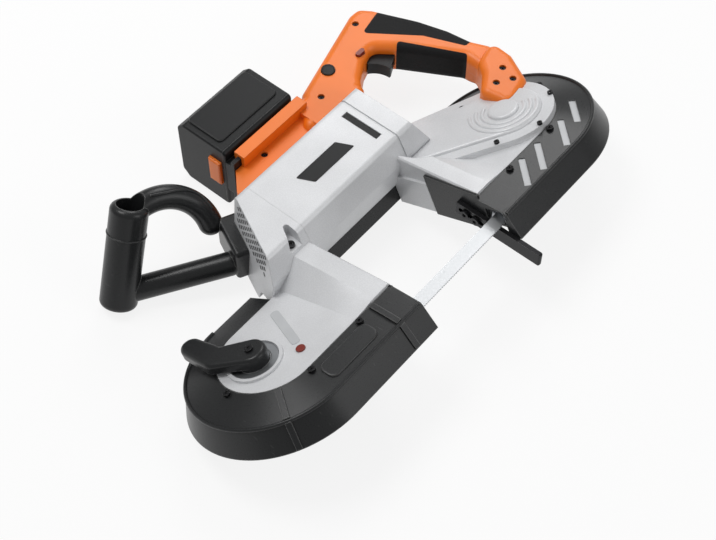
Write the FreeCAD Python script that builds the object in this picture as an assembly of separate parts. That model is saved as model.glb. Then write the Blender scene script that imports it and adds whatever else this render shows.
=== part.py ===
import FreeCAD, Part
import math
import os

os.makedirs("parts", exist_ok=True)
Vec = FreeCAD.Vector
origin = Vec(0, 0, 0)
along_x = Vec(1, 0, 0)
along_y = Vec(0, 1, 0)
along_z = Vec(0, 0, 1)

# Sizes in millimetres. The loop frame has its origin midway between the wheels on the blade's mid plane,
# X along the blade toward the drive wheel, Y from the cutting side to the motor, Z along the wheel axes.
# The tool frame is the loop frame turned about X by tool_tilt: motor, handle and battery lie along it.
tool_tilt = 25.0
overrun = 6.0
run_gap = 0.35
fit_gap = 0.03
seat_gap = 0.4

# Blade loop and wheels
blade_length = 1140.0
blade_width = 12.7
blade_thick = 0.6
loop_r = 70.0
wheel_x = (blade_length / 2 - math.pi * loop_r) / 2
twist_start = 14.0
twist_steps = 8
tyre_r = loop_r - blade_thick / 2 - run_gap
tyre_thick = 4.0
rim_thick = 7.0
rim_half = 6.0
flange_over = 1.5
flange_low = 7.2
flange_high = 9.2
flange_r = loop_r + flange_over
hub_r = 17.0
hub_half = 9.2
web_half = 2.4
web_hole_r = 9.5
web_hole_ring_r = 37.0
web_hole_count = 6
shaft_r = 7.5
shaft_nut_r = 11.0
shaft_nut_thick = 3.4

# Wheel guards and throat
guard_drop = 15.0
guard_crease_z = 12.0
guard_top_z = 22.0
guard_foot_over = 25.0
guard_crease_over = 15.0
guard_lip_under = 19.0
guard_open_under = 9.0
guard_foot_r = loop_r + guard_foot_over
guard_crease_r = loop_r + guard_crease_over
guard_lip_r = loop_r - guard_lip_under
guard_open_r = loop_r - guard_open_under
shield_low_z = 26.0
shield_top_z = 33.0
guard_wall = 3.0
guard_slit_width = 6.4
guard_slit_long = 35.0
guard_slit_lean = 45.0
guard_slit_backs = (59.0, 34.0, -4.0, -38.0)
throat_half = 62.7
guard_end_over = 60.8
guard_end_x = throat_half + guard_end_over
blade_flat_over = 19.3
blade_flat_x = throat_half + blade_flat_over
blade_slot_half = 11.0
plate_low = 14.0
plate_wall = 4.0

# Return channel over the idle span
channel_half = 10.5
channel_low = 8.5
channel_high = 10.0
channel_wall = 2.4

# Gear train: bevel pair at the motor, then three spur gears
bevel_module = 1.25
bevel_pinion_teeth = 14
bevel_gear_teeth = 42
bevel_face_share = 0.36
bevel_backlash = 0.22
spur_module = 1.5
spur_teeth = (16, 48, 58)
spur_backlash = 0.22
spur_low = 15.0
spur_high = 24.0
gear_clear = 2.2
case_wall = 3.5
case_low = 11.0
case_top = 25.5
cover_thick = 3.0
step_rise = 3.0
step_inset = 9.0
lay_shaft_back = 87.0
lay_shaft_x = wheel_x - lay_shaft_back
lay_shaft_r = 4.0
lay_bearing_r = 8.0
lay_bearing_thick = 4.6
idler_pin_r = 5.0
drive_bearing_r = 16.0
drive_bearing_thick = 7.0
top_bearing_r = 13.0
top_bearing_thick = 6.0
boss_wall = 3.0

# Motor, in the tool frame
motor_y = 100.0
motor_z = 0.0
motor_half = 45.0
motor_front_x = 62.0
motor_rear_over = 32.0
motor_rear_x = lay_shaft_x + motor_rear_over
motor_top_over = 10.0
motor_top_x = lay_shaft_x + motor_top_over
motor_rear_break_z = -3.0
motor_groove = 1.0
motor_groove_x = 76.0
motor_slot_x = 65.0
motor_slot_wide = 8.0
motor_slot_y = (81.0, 125.0)
motor_slot_deep = 2.6
motor_wall = 4.0
motor_corner_r = 6.0
motor_bore_r = 26.0
motor_ring_wall = 2.6
motor_web_back = 36.0
motor_web_x = lay_shaft_x - motor_web_back
motor_web_thick = 9.0
stator_in_r = 16.0
stator_front_x = 44.0
stator_rear_x = 18.0
stator_slot_count = 12
stator_slot_depth = 6.0
stator_slot_width = 4.0
rotor_gap = 0.6
rotor_shaft_r = 4.0
motor_bearing_r = 9.0
motor_bearing_thick = 6.0
fan_x = 54.5
fan_thick = 8.0
fan_hub_r = 9.0
fan_blade_count = 9
fan_blade_thick = 1.4
nose_long = 116.5
nose_short = 74.0
nose_lean = 8.0
vent_slot = 4.2
vent_pitch = 8.6
vent_rows = 7
vent_columns = 8
vent_mid_z = 20.0
pocket_floor_z = 25.0
pocket_spots = ((-69.0, 91.0), (-72.0, 50.0), (-93.0, 50.0))
pocket_wall = 3.0
pocket_screw = (-79.0, 68.0)
pocket_screw_r = 4.0
motor_top_share = 0.844
motor_profile_shares = ((-0.711, 0.844), (-1.0, 0.30), (-0.99, -0.34), (-0.44, -0.60), (-0.40, -0.93),
                        (0.80, -0.93), (0.889, -0.80), (0.889, 0.844))

# Silver arms beside the throat
arm_width = 48.0
arm_slope = 26.0
arm_edge = 1.6
arm_start_z = 24.6
arm_end_z = 48.0
arm_end_y = 58.0
skirt_thick = 3.6
skirt_low = 12.0
skirt_start_y = -12.0

# Rear handle, in the tool frame
handle_reach = 262.0
handle_rise = 222.0
handle_half = 20.0
handle_round = 9.0
handle_wall = 3.4
skin_thick = 1.3
handle_corner_r = 11.0
handle_shares = ((0.10, 0.655), (0.24, 0.80), (0.27, 0.838), (0.70, 0.984), (0.752, 0.982), (0.785, 0.925),
                 (0.858, 0.715), (0.892, 0.57), (0.905, 0.45), (0.935, 0.365), (0.925, 0.235), (0.86, 0.088),
                 (0.715, 0.05), (0.695, 0.21), (0.775, 0.27), (0.815, 0.33), (0.82, 0.405), (0.69, 0.675),
                 (0.625, 0.775), (0.55, 0.745), (0.475, 0.69), (0.45, 0.655))
foot_top = 27.0
skin_outer_shares = ((0.655, 0.858), (0.796, 0.632), (0.862, 0.44), (1.0, 0.45), (1.0, 0.942), (0.86, 0.908))
skin_inner_shares = ((0.71, 0.703), (0.836, 0.41), (0.725, 0.306), (0.553, 0.577))
base_front_x = 60.0
base_chamfer = 28.0
base_rear_x = 118.0
base_low_z = 38.0
base_step_x = 50.0
base_step_z = 13.0
base_inner_y = 140.4
base_outer_y = 182.0
handle_post_r = 4.2
handle_screw_r = 1.7
handle_screw_head_r = 3.2
handle_screw_head = 2.0
handle_screw_shares = ((0.675, 0.92), (0.302, 0.752))
base_screw_shares = ((-0.03, 0.745),)
foot_screw_shares = ((0.843, 0.216), (0.824, 0.142), (0.767, 0.185))
foot_screw_long = 5.0

# Controls, in the tool frame
grip_lean = 27.0
trigger_x_share = 0.643
trigger_y_share = 0.73
trigger_x = handle_reach * trigger_x_share
trigger_y = handle_rise * trigger_y_share
trigger_out = 15.0
trigger_in = 13.0
trigger_long = 25.0
trigger_half = 7.5
trigger_travel = 7.0
switch_long = 30.0
switch_deep = 16.0
switch_half = 9.0
dial_x_share = 0.42
dial_y_share = 0.83
dial_x = handle_reach * dial_x_share
dial_y = handle_rise * dial_y_share
dial_r = 7.0
dial_deep = 5.0
dial_proud = 1.6
lock_x_share = 0.567
lock_y_share = 0.785
lock_x = handle_reach * lock_x_share
lock_y = handle_rise * lock_y_share
lock_long = 11.0
lock_wide = 5.0
lock_deep = 6.0
lock_proud = 2.6
lock_travel = 2.0
board_long = 42.0
board_wide = 20.0
board_thick = 1.6
board_x_share = 0.336
board_y_share = 0.781
board_x = handle_reach * board_x_share
board_y = handle_rise * board_y_share
board_post_r = 2.6
board_post_inset = 8.0

# Battery pack, in the tool frame
rest_drop = 51.5
pack_front_x = 42.0
pack_rear_x = 56.0
pack_inner_y = 185.0
pack_outer_y = 250.0
pack_low_z = rest_drop
pack_high_z = 30.0
pack_wall = 2.6
pack_chamfer = 9.0
pack_round = 5.0
cell_r = 9.1
cell_long = 65.0
cell_pitch = 18.6
cell_columns = 5
cell_row_y = (215.8, 234.4)
rail_neck_half = 21.0
rail_head_half = 27.0
rail_head_thick = 4.0
rail_mid_z = -4.0
socket_wall = 4.0
button_wide = 32.0
button_tall = 15.0
button_deep = 7.0
button_proud = 4.0
button_travel = 3.0
button_y = 198.5
rib_depth = 1.6
rib_width = 3.0
rib_count = 5

# Front handle, in the tool frame
grip_top = Vec(-150.0, 203.0, 45.0)
grip_foot = Vec(-200.0, 186.0, -50.0)
grip_r = 18.5
grip_hole_r = 13.0
grip_hole_deep = 34.0
bar_r = 12.0
bar_upper_mid = Vec(-107.0, 186.0, 27.0)
bar_upper = Vec(-93.0, 160.0, -6.0)
bar_lower = Vec(-106.0, 124.0, -27.0)
bar_upper_share = 0.13
bar_lower_share = 0.88
bracket_along = (54.0, 104.0)
bracket_thick = 18.0
bracket_z = (40.0, 0.0)
bracket_round = 4.0
bracket_screw_r = 3.0
bracket_screw_long = 10.0

# Blade guides and work shoe, in the tool frame
roller_r = 5.0
roller_half = 4.0
roller_pin_r = 1.8
back_roller_r = 5.2
guide_over = 11.3
back_roller_over = 26.3
guide_end_over = 35.3
guide_start_over = 4.3
guide_x = throat_half + guide_over
back_roller_x = throat_half + back_roller_over
guide_end_x = throat_half + guide_end_over
guide_start_x = throat_half + guide_start_over
guide_plate = 6.0
guide_low = 15.0
guide_high = 6.4
shoe_thick = 4.6
shoe_out = 54.0
shoe_in = 44.0
shoe_low = 19.0
shoe_drop = 3.4
shoe_screw_r = 2.5
shoe_screw_head_r = 4.6
shoe_slot = 12.0
shoe_screw_pitch = 12.0

# Blade tension
tension_travel = 9.0
axle_r = 6.0
idler_bearing_r = 14.0
carriage_long = 62.0
carriage_half = 15.0
carriage_low = 11.0
carriage_high = 17.4
lever_back = 15.0
lever_x = -wheel_x - lever_back
lever_y = 4.0
lever_ring_r = 27.0
lever_ring_wide = 3.4
lever_ring_rise = 2.4
lever_round = 4.0
lever_low = 23.0
lever_high = 37.0
lever_hub_r = 15.0
lever_arm = 64.0
lever_tip_r = 10.5
lever_rest_angle = 108.0
lever_pin_r = 4.0
tracking_ahead = 15.0
tracking_x = tracking_ahead - wheel_x
tracking_y = -27.0
tracking_r = 4.5
tracking_long = 9.0

# Screws
screw_head_r = 3.6
screw_head = 2.6
screw_r = 2.0
screw_long = 9.0

corner_limit_share = 0.48
pressure_angle = 20.0
root_share = 1.25
flank_shares = (0.0, 0.5, 1.0)


def tilted(shape):
    turned = shape.copy()
    turned.rotate(origin, along_x, tool_tilt)
    return turned


def untilted(shape):
    turned = shape.copy()
    turned.rotate(origin, along_x, -tool_tilt)
    return turned


def loop_point(x, y, z):
    # a tool-frame point seen in the loop frame
    turn = math.radians(tool_tilt)
    return Vec(x, y * math.cos(turn) - z * math.sin(turn), y * math.sin(turn) + z * math.cos(turn))


def box(x_low, x_high, y_low, y_high, z_low, z_high):
    return Part.makeBox(x_high - x_low, y_high - y_low, z_high - z_low, Vec(x_low, y_low, z_low))


def rod(radius, start, end):
    line = end - start
    return Part.makeCylinder(radius, line.Length, start, line)


def post(radius, x, y, z_low, z_high):
    return Part.makeCylinder(radius, z_high - z_low, Vec(x, y, z_low))


def ring(outer, inner, x, y, z_low, z_high):
    return post(outer, x, y, z_low, z_high).cut(post(inner, x, y, z_low - overrun, z_high + overrun))


def join(shapes):
    return shapes[0].fuse(shapes[1:]).removeSplitter()


def corner_wire(points):
    return Part.makePolygon(points + points[:1])


def rounded_wire(points, radius):
    spots = [Vec(x, y, 0) for x, y in points]
    bends = []
    for i, here in enumerate(spots):
        back = spots[i - 1] - here
        ahead = spots[(i + 1) % len(spots)] - here
        half = back.getAngle(ahead) / 2
        room = min(back.Length, ahead.Length) * corner_limit_share
        reach = min(radius / math.tan(half), room)
        bend = reach * math.tan(half)
        back.normalize()
        ahead.normalize()
        inward = (back + ahead).normalize()
        middle = here + inward * (bend / math.sin(half) - bend)
        bends.append((here + back * reach, middle, here + ahead * reach))
    edges = []
    for i, (start, middle, end) in enumerate(bends):
        edges.append(Part.makeLine(bends[i - 1][2], start))
        edges.append(Part.Arc(start, middle, end).toShape())
    return Part.Wire(edges)


def prism(points, radius, z_low, z_high):
    face = Part.Face(rounded_wire(points, radius))
    face.translate(Vec(0, 0, z_low))
    return face.extrude(Vec(0, 0, z_high - z_low))


def soften_ends(shape, radius, levels):
    # rounds the edge loops that lie in the given levels
    edges = []
    for edge in shape.Edges:
        for level in levels:
            if all(abs(v.Z - level) < run_gap for v in edge.Vertexes):
                edges.append(edge)
    return shape.makeFillet(radius, edges)


def scaled_shares(shares, x_size, y_size):
    return [(x * x_size, y * y_size) for x, y in shares]


def hull(first, first_r, second, second_r, z_low, z_high):
    # two round lobes and the strip between them
    across = Vec(second[0] - first[0], second[1] - first[1], 0)
    lean = math.acos((first_r - second_r) / across.Length)
    heading = math.atan2(across.y, across.x)
    corners = []
    for centre, radius, side in ((first, first_r, 1), (second, second_r, 1),
                                 (second, second_r, -1), (first, first_r, -1)):
        angle = heading + side * lean
        corners.append(Vec(centre[0] + radius * math.cos(angle), centre[1] + radius * math.sin(angle), z_low))
    strip = Part.Face(corner_wire(corners)).extrude(Vec(0, 0, z_high - z_low))
    lobes = [post(first_r, *first, z_low, z_high), post(second_r, *second, z_low, z_high)]
    return join([strip] + lobes)


def mirrored(shape):
    return shape.mirror(origin, along_x)


# Gear places and tooth phases
lay_place = (lay_shaft_x, loop_point(0, motor_y, motor_z).y)
motor_axis_z = loop_point(0, motor_y, motor_z).z
drive_place = (wheel_x, 0)
spur_r = [spur_module * teeth / 2 for teeth in spur_teeth]


def middle_place():
    # the middle spur gear meshes with both its neighbours, on the throat side of their line
    gap = Vec(drive_place[0] - lay_place[0], drive_place[1] - lay_place[1], 0)
    near, far = spur_r[0] + spur_r[1], spur_r[1] + spur_r[2]
    ahead = (near ** 2 + gap.Length ** 2 - far ** 2) / (2 * gap.Length)
    aside = math.sqrt(near ** 2 - ahead ** 2)
    gap.normalize()
    return (lay_place[0] + gap.x * ahead + gap.y * aside, lay_place[1] + gap.y * ahead - gap.x * aside)


spur_places = (lay_place, middle_place(), drive_place)


def meshing_phase(phase, index, mate):
    # tooth phase of the mate so that its gap meets this gear's tooth
    here, there = spur_places[index], spur_places[mate]
    heading = math.atan2(there[1] - here[1], there[0] - here[0])
    slip = (math.pi * spur_module / 2 - (phase - heading) * spur_r[index]) / spur_r[mate]
    return heading + math.pi + slip


def involute(angle):
    return math.tan(angle) - angle


def half_tooth(radius, pitch_r, half_angle):
    press = math.radians(pressure_angle)
    local = math.acos(min(1, pitch_r * math.cos(press) / radius))
    return half_angle + involute(press) - involute(local)


def spur_gear(teeth, phase, place, bore_r):
    pitch_r = spur_module * teeth / 2
    root_r = pitch_r - spur_module * root_share
    tip_r = pitch_r + spur_module
    start_r = max(root_r, pitch_r * math.cos(math.radians(pressure_angle)))
    half_angle = math.pi / teeth / 2 - spur_backlash / pitch_r / 4
    flank = [start_r + (tip_r - start_r) * share for share in flank_shares]
    side = [(radius, half_tooth(radius, pitch_r, half_angle)) for radius in flank]
    if start_r > root_r:
        side.insert(0, (root_r, side[0][1]))
    points = []
    for i in range(teeth):
        centre = phase + 2 * math.pi * i / teeth
        tooth = [(r, centre - half) for r, half in side] + [(r, centre + half) for r, half in reversed(side)]
        points += [Vec(place[0] + r * math.cos(a), place[1] + r * math.sin(a), spur_low) for r, a in tooth]
    blank = Part.Face(corner_wire(points)).extrude(Vec(0, 0, spur_high - spur_low))
    return blank.cut(post(bore_r, *place, spur_low - overrun, spur_high + overrun))


bevel_cone = bevel_module / 2 * math.hypot(bevel_pinion_teeth, bevel_gear_teeth)
bevel_gear_r = bevel_module * bevel_gear_teeth / 2
bevel_pinion_r = bevel_module * bevel_pinion_teeth / 2
bevel_tip_share = 0.8


def bevel_star(teeth, mate, phase, share):
    # tooth outline in a plane across the axis, at a share of the pitch height from the apex
    cone = math.atan2(teeth, mate)
    virtual_r = bevel_module * teeth / 2 / math.cos(cone)
    virtual_teeth = teeth / math.cos(cone)
    half_angle = math.pi / virtual_teeth / 2 - bevel_backlash / virtual_r / 4
    root_r = virtual_r - bevel_module * root_share
    start_r = max(root_r, virtual_r * math.cos(math.radians(pressure_angle)))
    tip_r = virtual_r + bevel_module * bevel_tip_share
    flank = [start_r + (tip_r - start_r) * step for step in flank_shares]
    side = [(radius, half_tooth(radius, virtual_r, half_angle)) for radius in flank]
    if start_r > root_r:
        side.insert(0, (root_r, side[0][1]))
    height = bevel_cone * math.cos(cone) * share
    rays = []
    for radius, half in side:
        lean = cone + math.atan((radius - virtual_r) / bevel_cone)
        true_r = math.hypot(bevel_cone, radius - virtual_r) * math.sin(lean)
        rays.append((height * math.tan(lean), half * radius / true_r))
    points = []
    for i in range(teeth):
        centre = phase + 2 * math.pi * i / teeth
        tooth = [(r, centre - half) for r, half in rays] + [(r, centre + half) for r, half in reversed(rays)]
        points += [Vec(r * math.cos(a), r * math.sin(a), -height) for r, a in tooth]
    return corner_wire(points)


bevel_deep_share = 1.35
bevel_shallow_share = 0.42


def bevel_gear():
    wires = [bevel_star(bevel_gear_teeth, bevel_pinion_teeth, math.pi, share)
             for share in (bevel_deep_share, bevel_shallow_share)]
    teeth = Part.makeLoft(wires, True, True)
    outer = bevel_gear_r + bevel_module / 2
    inner = bevel_gear_r * (1 - bevel_face_share)
    teeth = teeth.common(ring(outer, inner, 0, 0, -bevel_gear_r, bevel_gear_r))
    teeth.translate(Vec(*lay_place, motor_axis_z))
    hub_low = spur_high + seat_gap * 2 + lay_bearing_thick
    hub_high = motor_axis_z - bevel_pinion_r
    hub = ring(inner + fit_gap, lay_shaft_r, *lay_place, hub_low, hub_high)
    return join([teeth, hub])


def bevel_pinion():
    wires = [bevel_star(bevel_pinion_teeth, bevel_gear_teeth, math.pi / bevel_pinion_teeth, share)
             for share in (1, 1 - bevel_face_share)]
    teeth = Part.makeLoft(wires, True, True)
    teeth = teeth.cut(post(rotor_shaft_r, 0, 0, -bevel_gear_r * 2, overrun))
    # local -Z, away from the apex, turns to -X and local -X turns to +Z
    teeth.rotate(origin, along_y, 90)
    teeth.translate(Vec(lay_shaft_x, lay_place[1], motor_axis_z))
    return teeth


def wheel(bore_r):
    rim_r = tyre_r - tyre_thick
    inner = rim_r - rim_thick
    outline = ((bore_r, -hub_half), (hub_r, -hub_half), (hub_r, -web_half), (inner, -web_half),
               (inner, -rim_half), (rim_r, -rim_half), (rim_r, flange_low), (flange_r, flange_low),
               (flange_r, flange_high), (inner, flange_high), (inner, web_half), (hub_r, web_half),
               (hub_r, hub_half), (bore_r, hub_half))
    face = Part.Face(corner_wire([Vec(r, 0, z) for r, z in outline]))
    shape = face.revolve(origin, along_z, 360)
    holes = []
    for i in range(web_hole_count):
        angle = 2 * math.pi * i / web_hole_count
        spot = (web_hole_ring_r * math.cos(angle), web_hole_ring_r * math.sin(angle))
        holes.append(post(web_hole_r, *spot, -hub_half, hub_half))
    return shape.cut(holes)


def tyre():
    return ring(tyre_r, tyre_r - tyre_thick, 0, 0, -rim_half, flange_low)


def at_wheel(shape, side):
    moved = shape.copy()
    moved.translate(Vec(side * wheel_x, 0, 0))
    return moved


def band_section(x, turn):
    half_w, half_t = blade_width / 2, blade_thick / 2
    points = []
    for t, w in ((-half_t, -half_w), (half_t, -half_w), (half_t, half_w), (-half_t, half_w)):
        points.append(Vec(x, -loop_r + t * math.cos(turn) - w * math.sin(turn),
                          t * math.sin(turn) + w * math.cos(turn)))
    return corner_wire(points)


def band_blade():
    # the cutting span turns flat to the tool frame between the guides
    full = math.radians(tool_tilt - 90)
    start_x = wheel_x - twist_start
    stations = [(wheel_x, 0)]
    for i in range(twist_steps + 1):
        share = i / twist_steps
        eased_share = share * share * (3 - 2 * share)
        stations.append((start_x + (blade_flat_x - start_x) * share, full * eased_share))
    sections = [band_section(-x, turn) for x, turn in stations]
    sections += [band_section(x, turn) for x, turn in reversed(stations)]
    cutting = Part.makeLoft(sections, True, True)
    inner, outer = loop_r - blade_thick / 2, loop_r + blade_thick / 2
    idle = box(-wheel_x, wheel_x, inner, outer, -blade_width / 2, blade_width / 2)
    wrap = ring(outer, inner, 0, 0, -blade_width / 2, blade_width / 2)
    wrap = wrap.common(box(0, outer, -outer, outer, -blade_width, blade_width))
    wrap.translate(Vec(wheel_x, 0, 0))
    return join([cutting, idle, wrap, mirrored(wrap)])


def stadium(radius, throat_x, z):
    start, turn, end = Vec(wheel_x, -radius, z), Vec(wheel_x + radius, 0, z), Vec(wheel_x, radius, z)
    low, high = Vec(throat_x, -radius, z), Vec(throat_x, radius, z)
    return Part.Wire([Part.makeLine(low, start), Part.Arc(start, turn, end).toShape(),
                      Part.makeLine(end, high), Part.makeLine(high, low)])


def stadium_block(radius, throat_x, z_low, z_high):
    return Part.Face(stadium(radius, throat_x, z_low)).extrude(Vec(0, 0, z_high - z_low))


lobe_r = (spur_r[0] + spur_module + gear_clear, spur_r[1] + spur_module + gear_clear,
          spur_r[2] + spur_module + gear_clear)


def case_hull(grow, z_low, z_high):
    lobes = [radius + grow for radius in lobe_r]
    first = hull(spur_places[0], lobes[0], spur_places[1], lobes[1], z_low, z_high)
    return join([first, hull(spur_places[1], lobes[1], spur_places[2], lobes[2], z_low, z_high)])


def guard(shield_low, shield_high):
    outer = Part.makeLoft([stadium(guard_foot_r, throat_half, -guard_drop),
                           stadium(guard_crease_r, throat_half, guard_crease_z),
                           stadium(guard_lip_r, throat_half, guard_top_z)], True, True)
    wall_x = throat_half + guard_wall
    inner = Part.makeLoft([stadium(guard_foot_r - guard_wall, wall_x, guard_wall - guard_drop),
                           stadium(guard_crease_r - guard_wall, wall_x, guard_crease_z - guard_wall / 2),
                           stadium(guard_lip_r - guard_wall, wall_x, guard_top_z - guard_wall)], True, True)
    top_hole = stadium_block(guard_lip_r, throat_half - overrun, plate_low - run_gap, guard_top_z + overrun)
    foot_hole = stadium_block(guard_open_r, wall_x, -guard_drop - overrun, guard_wall)
    arm_room = box(0, guard_end_x, guard_lip_r, guard_foot_r + overrun, -guard_drop - overrun, guard_top_z)
    low_room = box(0, wall_x, -skirt_start_y - run_gap, guard_foot_r, -guard_drop - overrun,
                   shield_top_z + overrun)
    slot = box(0, wall_x + overrun, -loop_r - blade_slot_half, -loop_r + blade_slot_half,
               -guard_drop - overrun, blade_width)
    shell = outer.cut([inner, top_hole, foot_hole])
    near, far = -guard_lip_r - guard_wall, -skirt_start_y - run_gap
    shield = Part.Face(corner_wire([Vec(throat_half, near, -guard_drop), Vec(throat_half, far, -guard_drop),
                                    Vec(throat_half, far, shield_high), Vec(throat_half, near, shield_low)]))
    shield = shield.extrude(Vec(guard_wall, 0, 0))
    return join([shell, shield]).cut([arm_room, low_room, slot, rest_cut()])


def rest_cut():
    # everything below the plane the saw lies on, in the tool frame
    reach = handle_reach * 2
    return tilted(box(-reach, reach, -reach, reach, -rest_drop - reach, -rest_drop))


def guard_slits():
    # leaning slits along the straight run, the last ones round the wheel
    mid_r = (guard_lip_r + guard_crease_r) / 2
    half = guard_slit_width / 2
    cuts = []
    for back in guard_slit_backs:
        turn = max(0, -back / mid_r)
        cut = box(-half, half, -guard_slit_long / 2, guard_slit_long / 2,
                  guard_crease_z - overrun, guard_top_z)
        cut.rotate(origin, along_z, -guard_slit_lean)
        cut.translate(Vec(wheel_x - max(0, back) + mid_r * math.sin(turn), -mid_r * math.cos(turn), 0))
        cuts.append(cut)
    return cuts


arm_x = throat_half + guard_wall + run_gap


def arm_casting(face_x):
    # top plate inside the guard, the raised arm beside the throat and its skirt
    edge_r = guard_lip_r - run_gap
    plate = stadium_block(edge_r, arm_x, plate_low, guard_top_z)
    plate = plate.cut(stadium_block(edge_r - plate_wall, arm_x + plate_wall,
                                    plate_low - overrun, guard_top_z - plate_wall))
    far = throat_half + arm_width
    sections = []
    for y, top in ((-edge_r, arm_start_z), (arm_end_y, arm_end_z)):
        outline = [(arm_x, plate_low), (far, plate_low), (far, guard_top_z), (far - arm_slope, top),
                   (face_x + arm_edge, top), (face_x, top - arm_edge)]
        if face_x < arm_x:
            outline += [(face_x, guard_top_z + run_gap), (arm_x, guard_top_z + run_gap)]
        sections.append(corner_wire([Vec(x, y, z) for x, z in outline]))
    ramp = Part.makeLoft(sections, True, True)
    hollow = box(arm_x + plate_wall, far - plate_wall * 2, plate_wall - edge_r, arm_end_y - plate_wall,
                 plate_low - overrun, guard_top_z)
    skirt = box(throat_half, arm_x + skirt_thick, -skirt_start_y, loop_r - channel_half - run_gap,
                -skirt_low, guard_top_z)
    return join([join([plate, ramp]).cut(hollow), skirt])


def gear_case(motor_outer):
    block = case_hull(case_wall, case_low, case_top)
    room = case_hull(0, plate_low, case_top + overrun)
    arms = arm_casting(arm_x).cut([motor_outer, case_hull(case_wall, case_top, guard_foot_r)])
    casting = join([arms, block]).cut(room)
    seat = ring(drive_bearing_r + boss_wall, drive_bearing_r, *drive_place, case_low,
                case_low + drive_bearing_thick)
    pin = post(idler_pin_r, *spur_places[1], case_low, spur_high)
    seat_low = spur_low - seat_gap - lay_bearing_thick
    lay_seat = ring(lay_bearing_r + boss_wall, lay_bearing_r, *lay_place, seat_low, plate_low)
    lay_hole = post(lay_bearing_r, *lay_place, 0, plate_low + overrun)
    drive_hole = post(drive_bearing_r, *drive_place, 0, plate_low + overrun)
    return casting.cut([lay_hole, drive_hole]).fuse([seat, pin, lay_seat]).removeSplitter()


def cover_step():
    # raised tongue over the two large gears
    step = hull(spur_places[1], lobe_r[1] - step_inset, drive_place, lobe_r[2] - step_inset,
                case_top, case_top + cover_thick + step_rise)
    return soften_ends(step, step_rise * corner_limit_share * 2, [case_top + cover_thick + step_rise])


def gear_cover():
    plate = case_hull(case_wall, case_top, case_top + cover_thick)
    boss = post(top_bearing_r + boss_wall, *drive_place, case_top, case_top + top_bearing_thick + boss_wall)
    boss = soften_ends(boss, boss_wall, [case_top + top_bearing_thick + boss_wall])
    seat = post(top_bearing_r, *drive_place, case_top - overrun, case_top + top_bearing_thick)
    lay_seat = post(lay_bearing_r, *lay_place, case_top - overrun, case_top + overrun)
    bevel_room = post(bevel_gear_r + gear_clear, *lay_place, cover_z, guard_foot_r)
    return join([plate, cover_step(), boss]).cut([seat, lay_seat, bevel_room])


def return_channel():
    low, high = loop_r - channel_half, loop_r + channel_half
    outer = box(-throat_half - arm_width, throat_half + arm_width, low, high, -channel_low, channel_high)
    inner = box(-wheel_x, wheel_x, low + channel_wall, high - channel_wall, -channel_low - overrun,
                channel_high - channel_wall)
    return outer.cut(inner)


def motor_prism(x_low, x_high, inset):
    points = [(motor_y + y * motor_half, motor_z + z * motor_half) for y, z in motor_profile_shares]
    face = Part.Face(rounded_wire(points, motor_corner_r))
    if inset:
        face = face.makeOffset2D(-inset)
    face.translate(Vec(0, 0, x_low))
    shape = face.extrude(Vec(0, 0, x_high - x_low))
    shape.rotate(origin, Vec(1, 1, 1), 120)
    return shape


def motor_rod(radius, x_low, x_high):
    return rod(radius, Vec(x_low, motor_y, motor_z), Vec(x_high, motor_y, motor_z))


def motor_tube(outer, inner, x_low, x_high):
    return motor_rod(outer, x_low, x_high).cut(motor_rod(inner, x_low - overrun, x_high + overrun))


def motor_ribs(x_low, x_high):
    half = motor_wall / 2
    flat = box(x_low, x_high, motor_y - motor_half, motor_y + motor_half, motor_z - half, motor_z + half)
    tall = box(x_low, x_high, motor_y - half, motor_y + half, motor_z - motor_half, motor_z + motor_half)
    return [flat, tall]


def channel_block():
    return box(-wheel_x, wheel_x, loop_r - channel_half, loop_r + channel_half, -channel_low, channel_high)


def motor_housing():
    outer = motor_prism(-motor_front_x, motor_rear_x, 0).cut(rear_wedge(0))
    inner = motor_prism(-motor_front_x, motor_web_x, motor_wall)
    rear_room = motor_prism(motor_web_x + motor_web_thick, motor_rear_x - motor_wall, motor_wall)
    rear_room = rear_room.cut(rear_wedge(motor_wall))
    sleeve = motor_rod(motor_bore_r + motor_ring_wall, -motor_front_x, motor_web_x)
    core = join([sleeve] + motor_ribs(-motor_front_x, motor_web_x)).common(inner)
    core = core.cut(motor_rod(motor_bore_r, -motor_front_x - overrun, motor_web_x))
    seat = motor_rod(motor_bearing_r, motor_web_x - overrun, motor_web_x + motor_web_thick + overrun)
    shape = outer.cut([inner, rear_room, seat] + motor_grooves())
    shape = tilted(join([shape, core]).cut(seat))
    return shape.cut([case_hull(case_wall, -guard_foot_r, cover_z), cover_step(), channel_block()])


def motor_grooves():
    # vent slot across the top panel and the shallow seam round the rear end
    top = motor_z + motor_top_share * motor_half
    half = motor_slot_wide / 2
    slot = box(motor_slot_x - half, motor_slot_x + half, *motor_slot_y, top - motor_slot_deep, top + overrun)
    low, high = motor_groove_x, motor_groove_x + motor_groove * 2
    seam = motor_prism(low, high, 0).cut(motor_prism(low - overrun, high + overrun, motor_groove))
    return [slot, seam]


def rear_wedge(shift):
    # the rear end slopes back from the top panel
    top = motor_z + motor_top_share * motor_half
    far = motor_rear_x + overrun
    points = [Vec(motor_top_x, 0, top), Vec(motor_rear_x, 0, motor_rear_break_z),
              Vec(far, 0, motor_rear_break_z), Vec(far, 0, top + overrun), Vec(motor_top_x, 0, top + overrun)]
    wedge = Part.Face(corner_wire(points)).extrude(Vec(0, motor_y + motor_half * 2, 0))
    fall = Vec(top - motor_rear_break_z, 0, motor_rear_x - motor_top_x).normalize()
    wedge.translate(fall * -shift)
    return wedge


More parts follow.
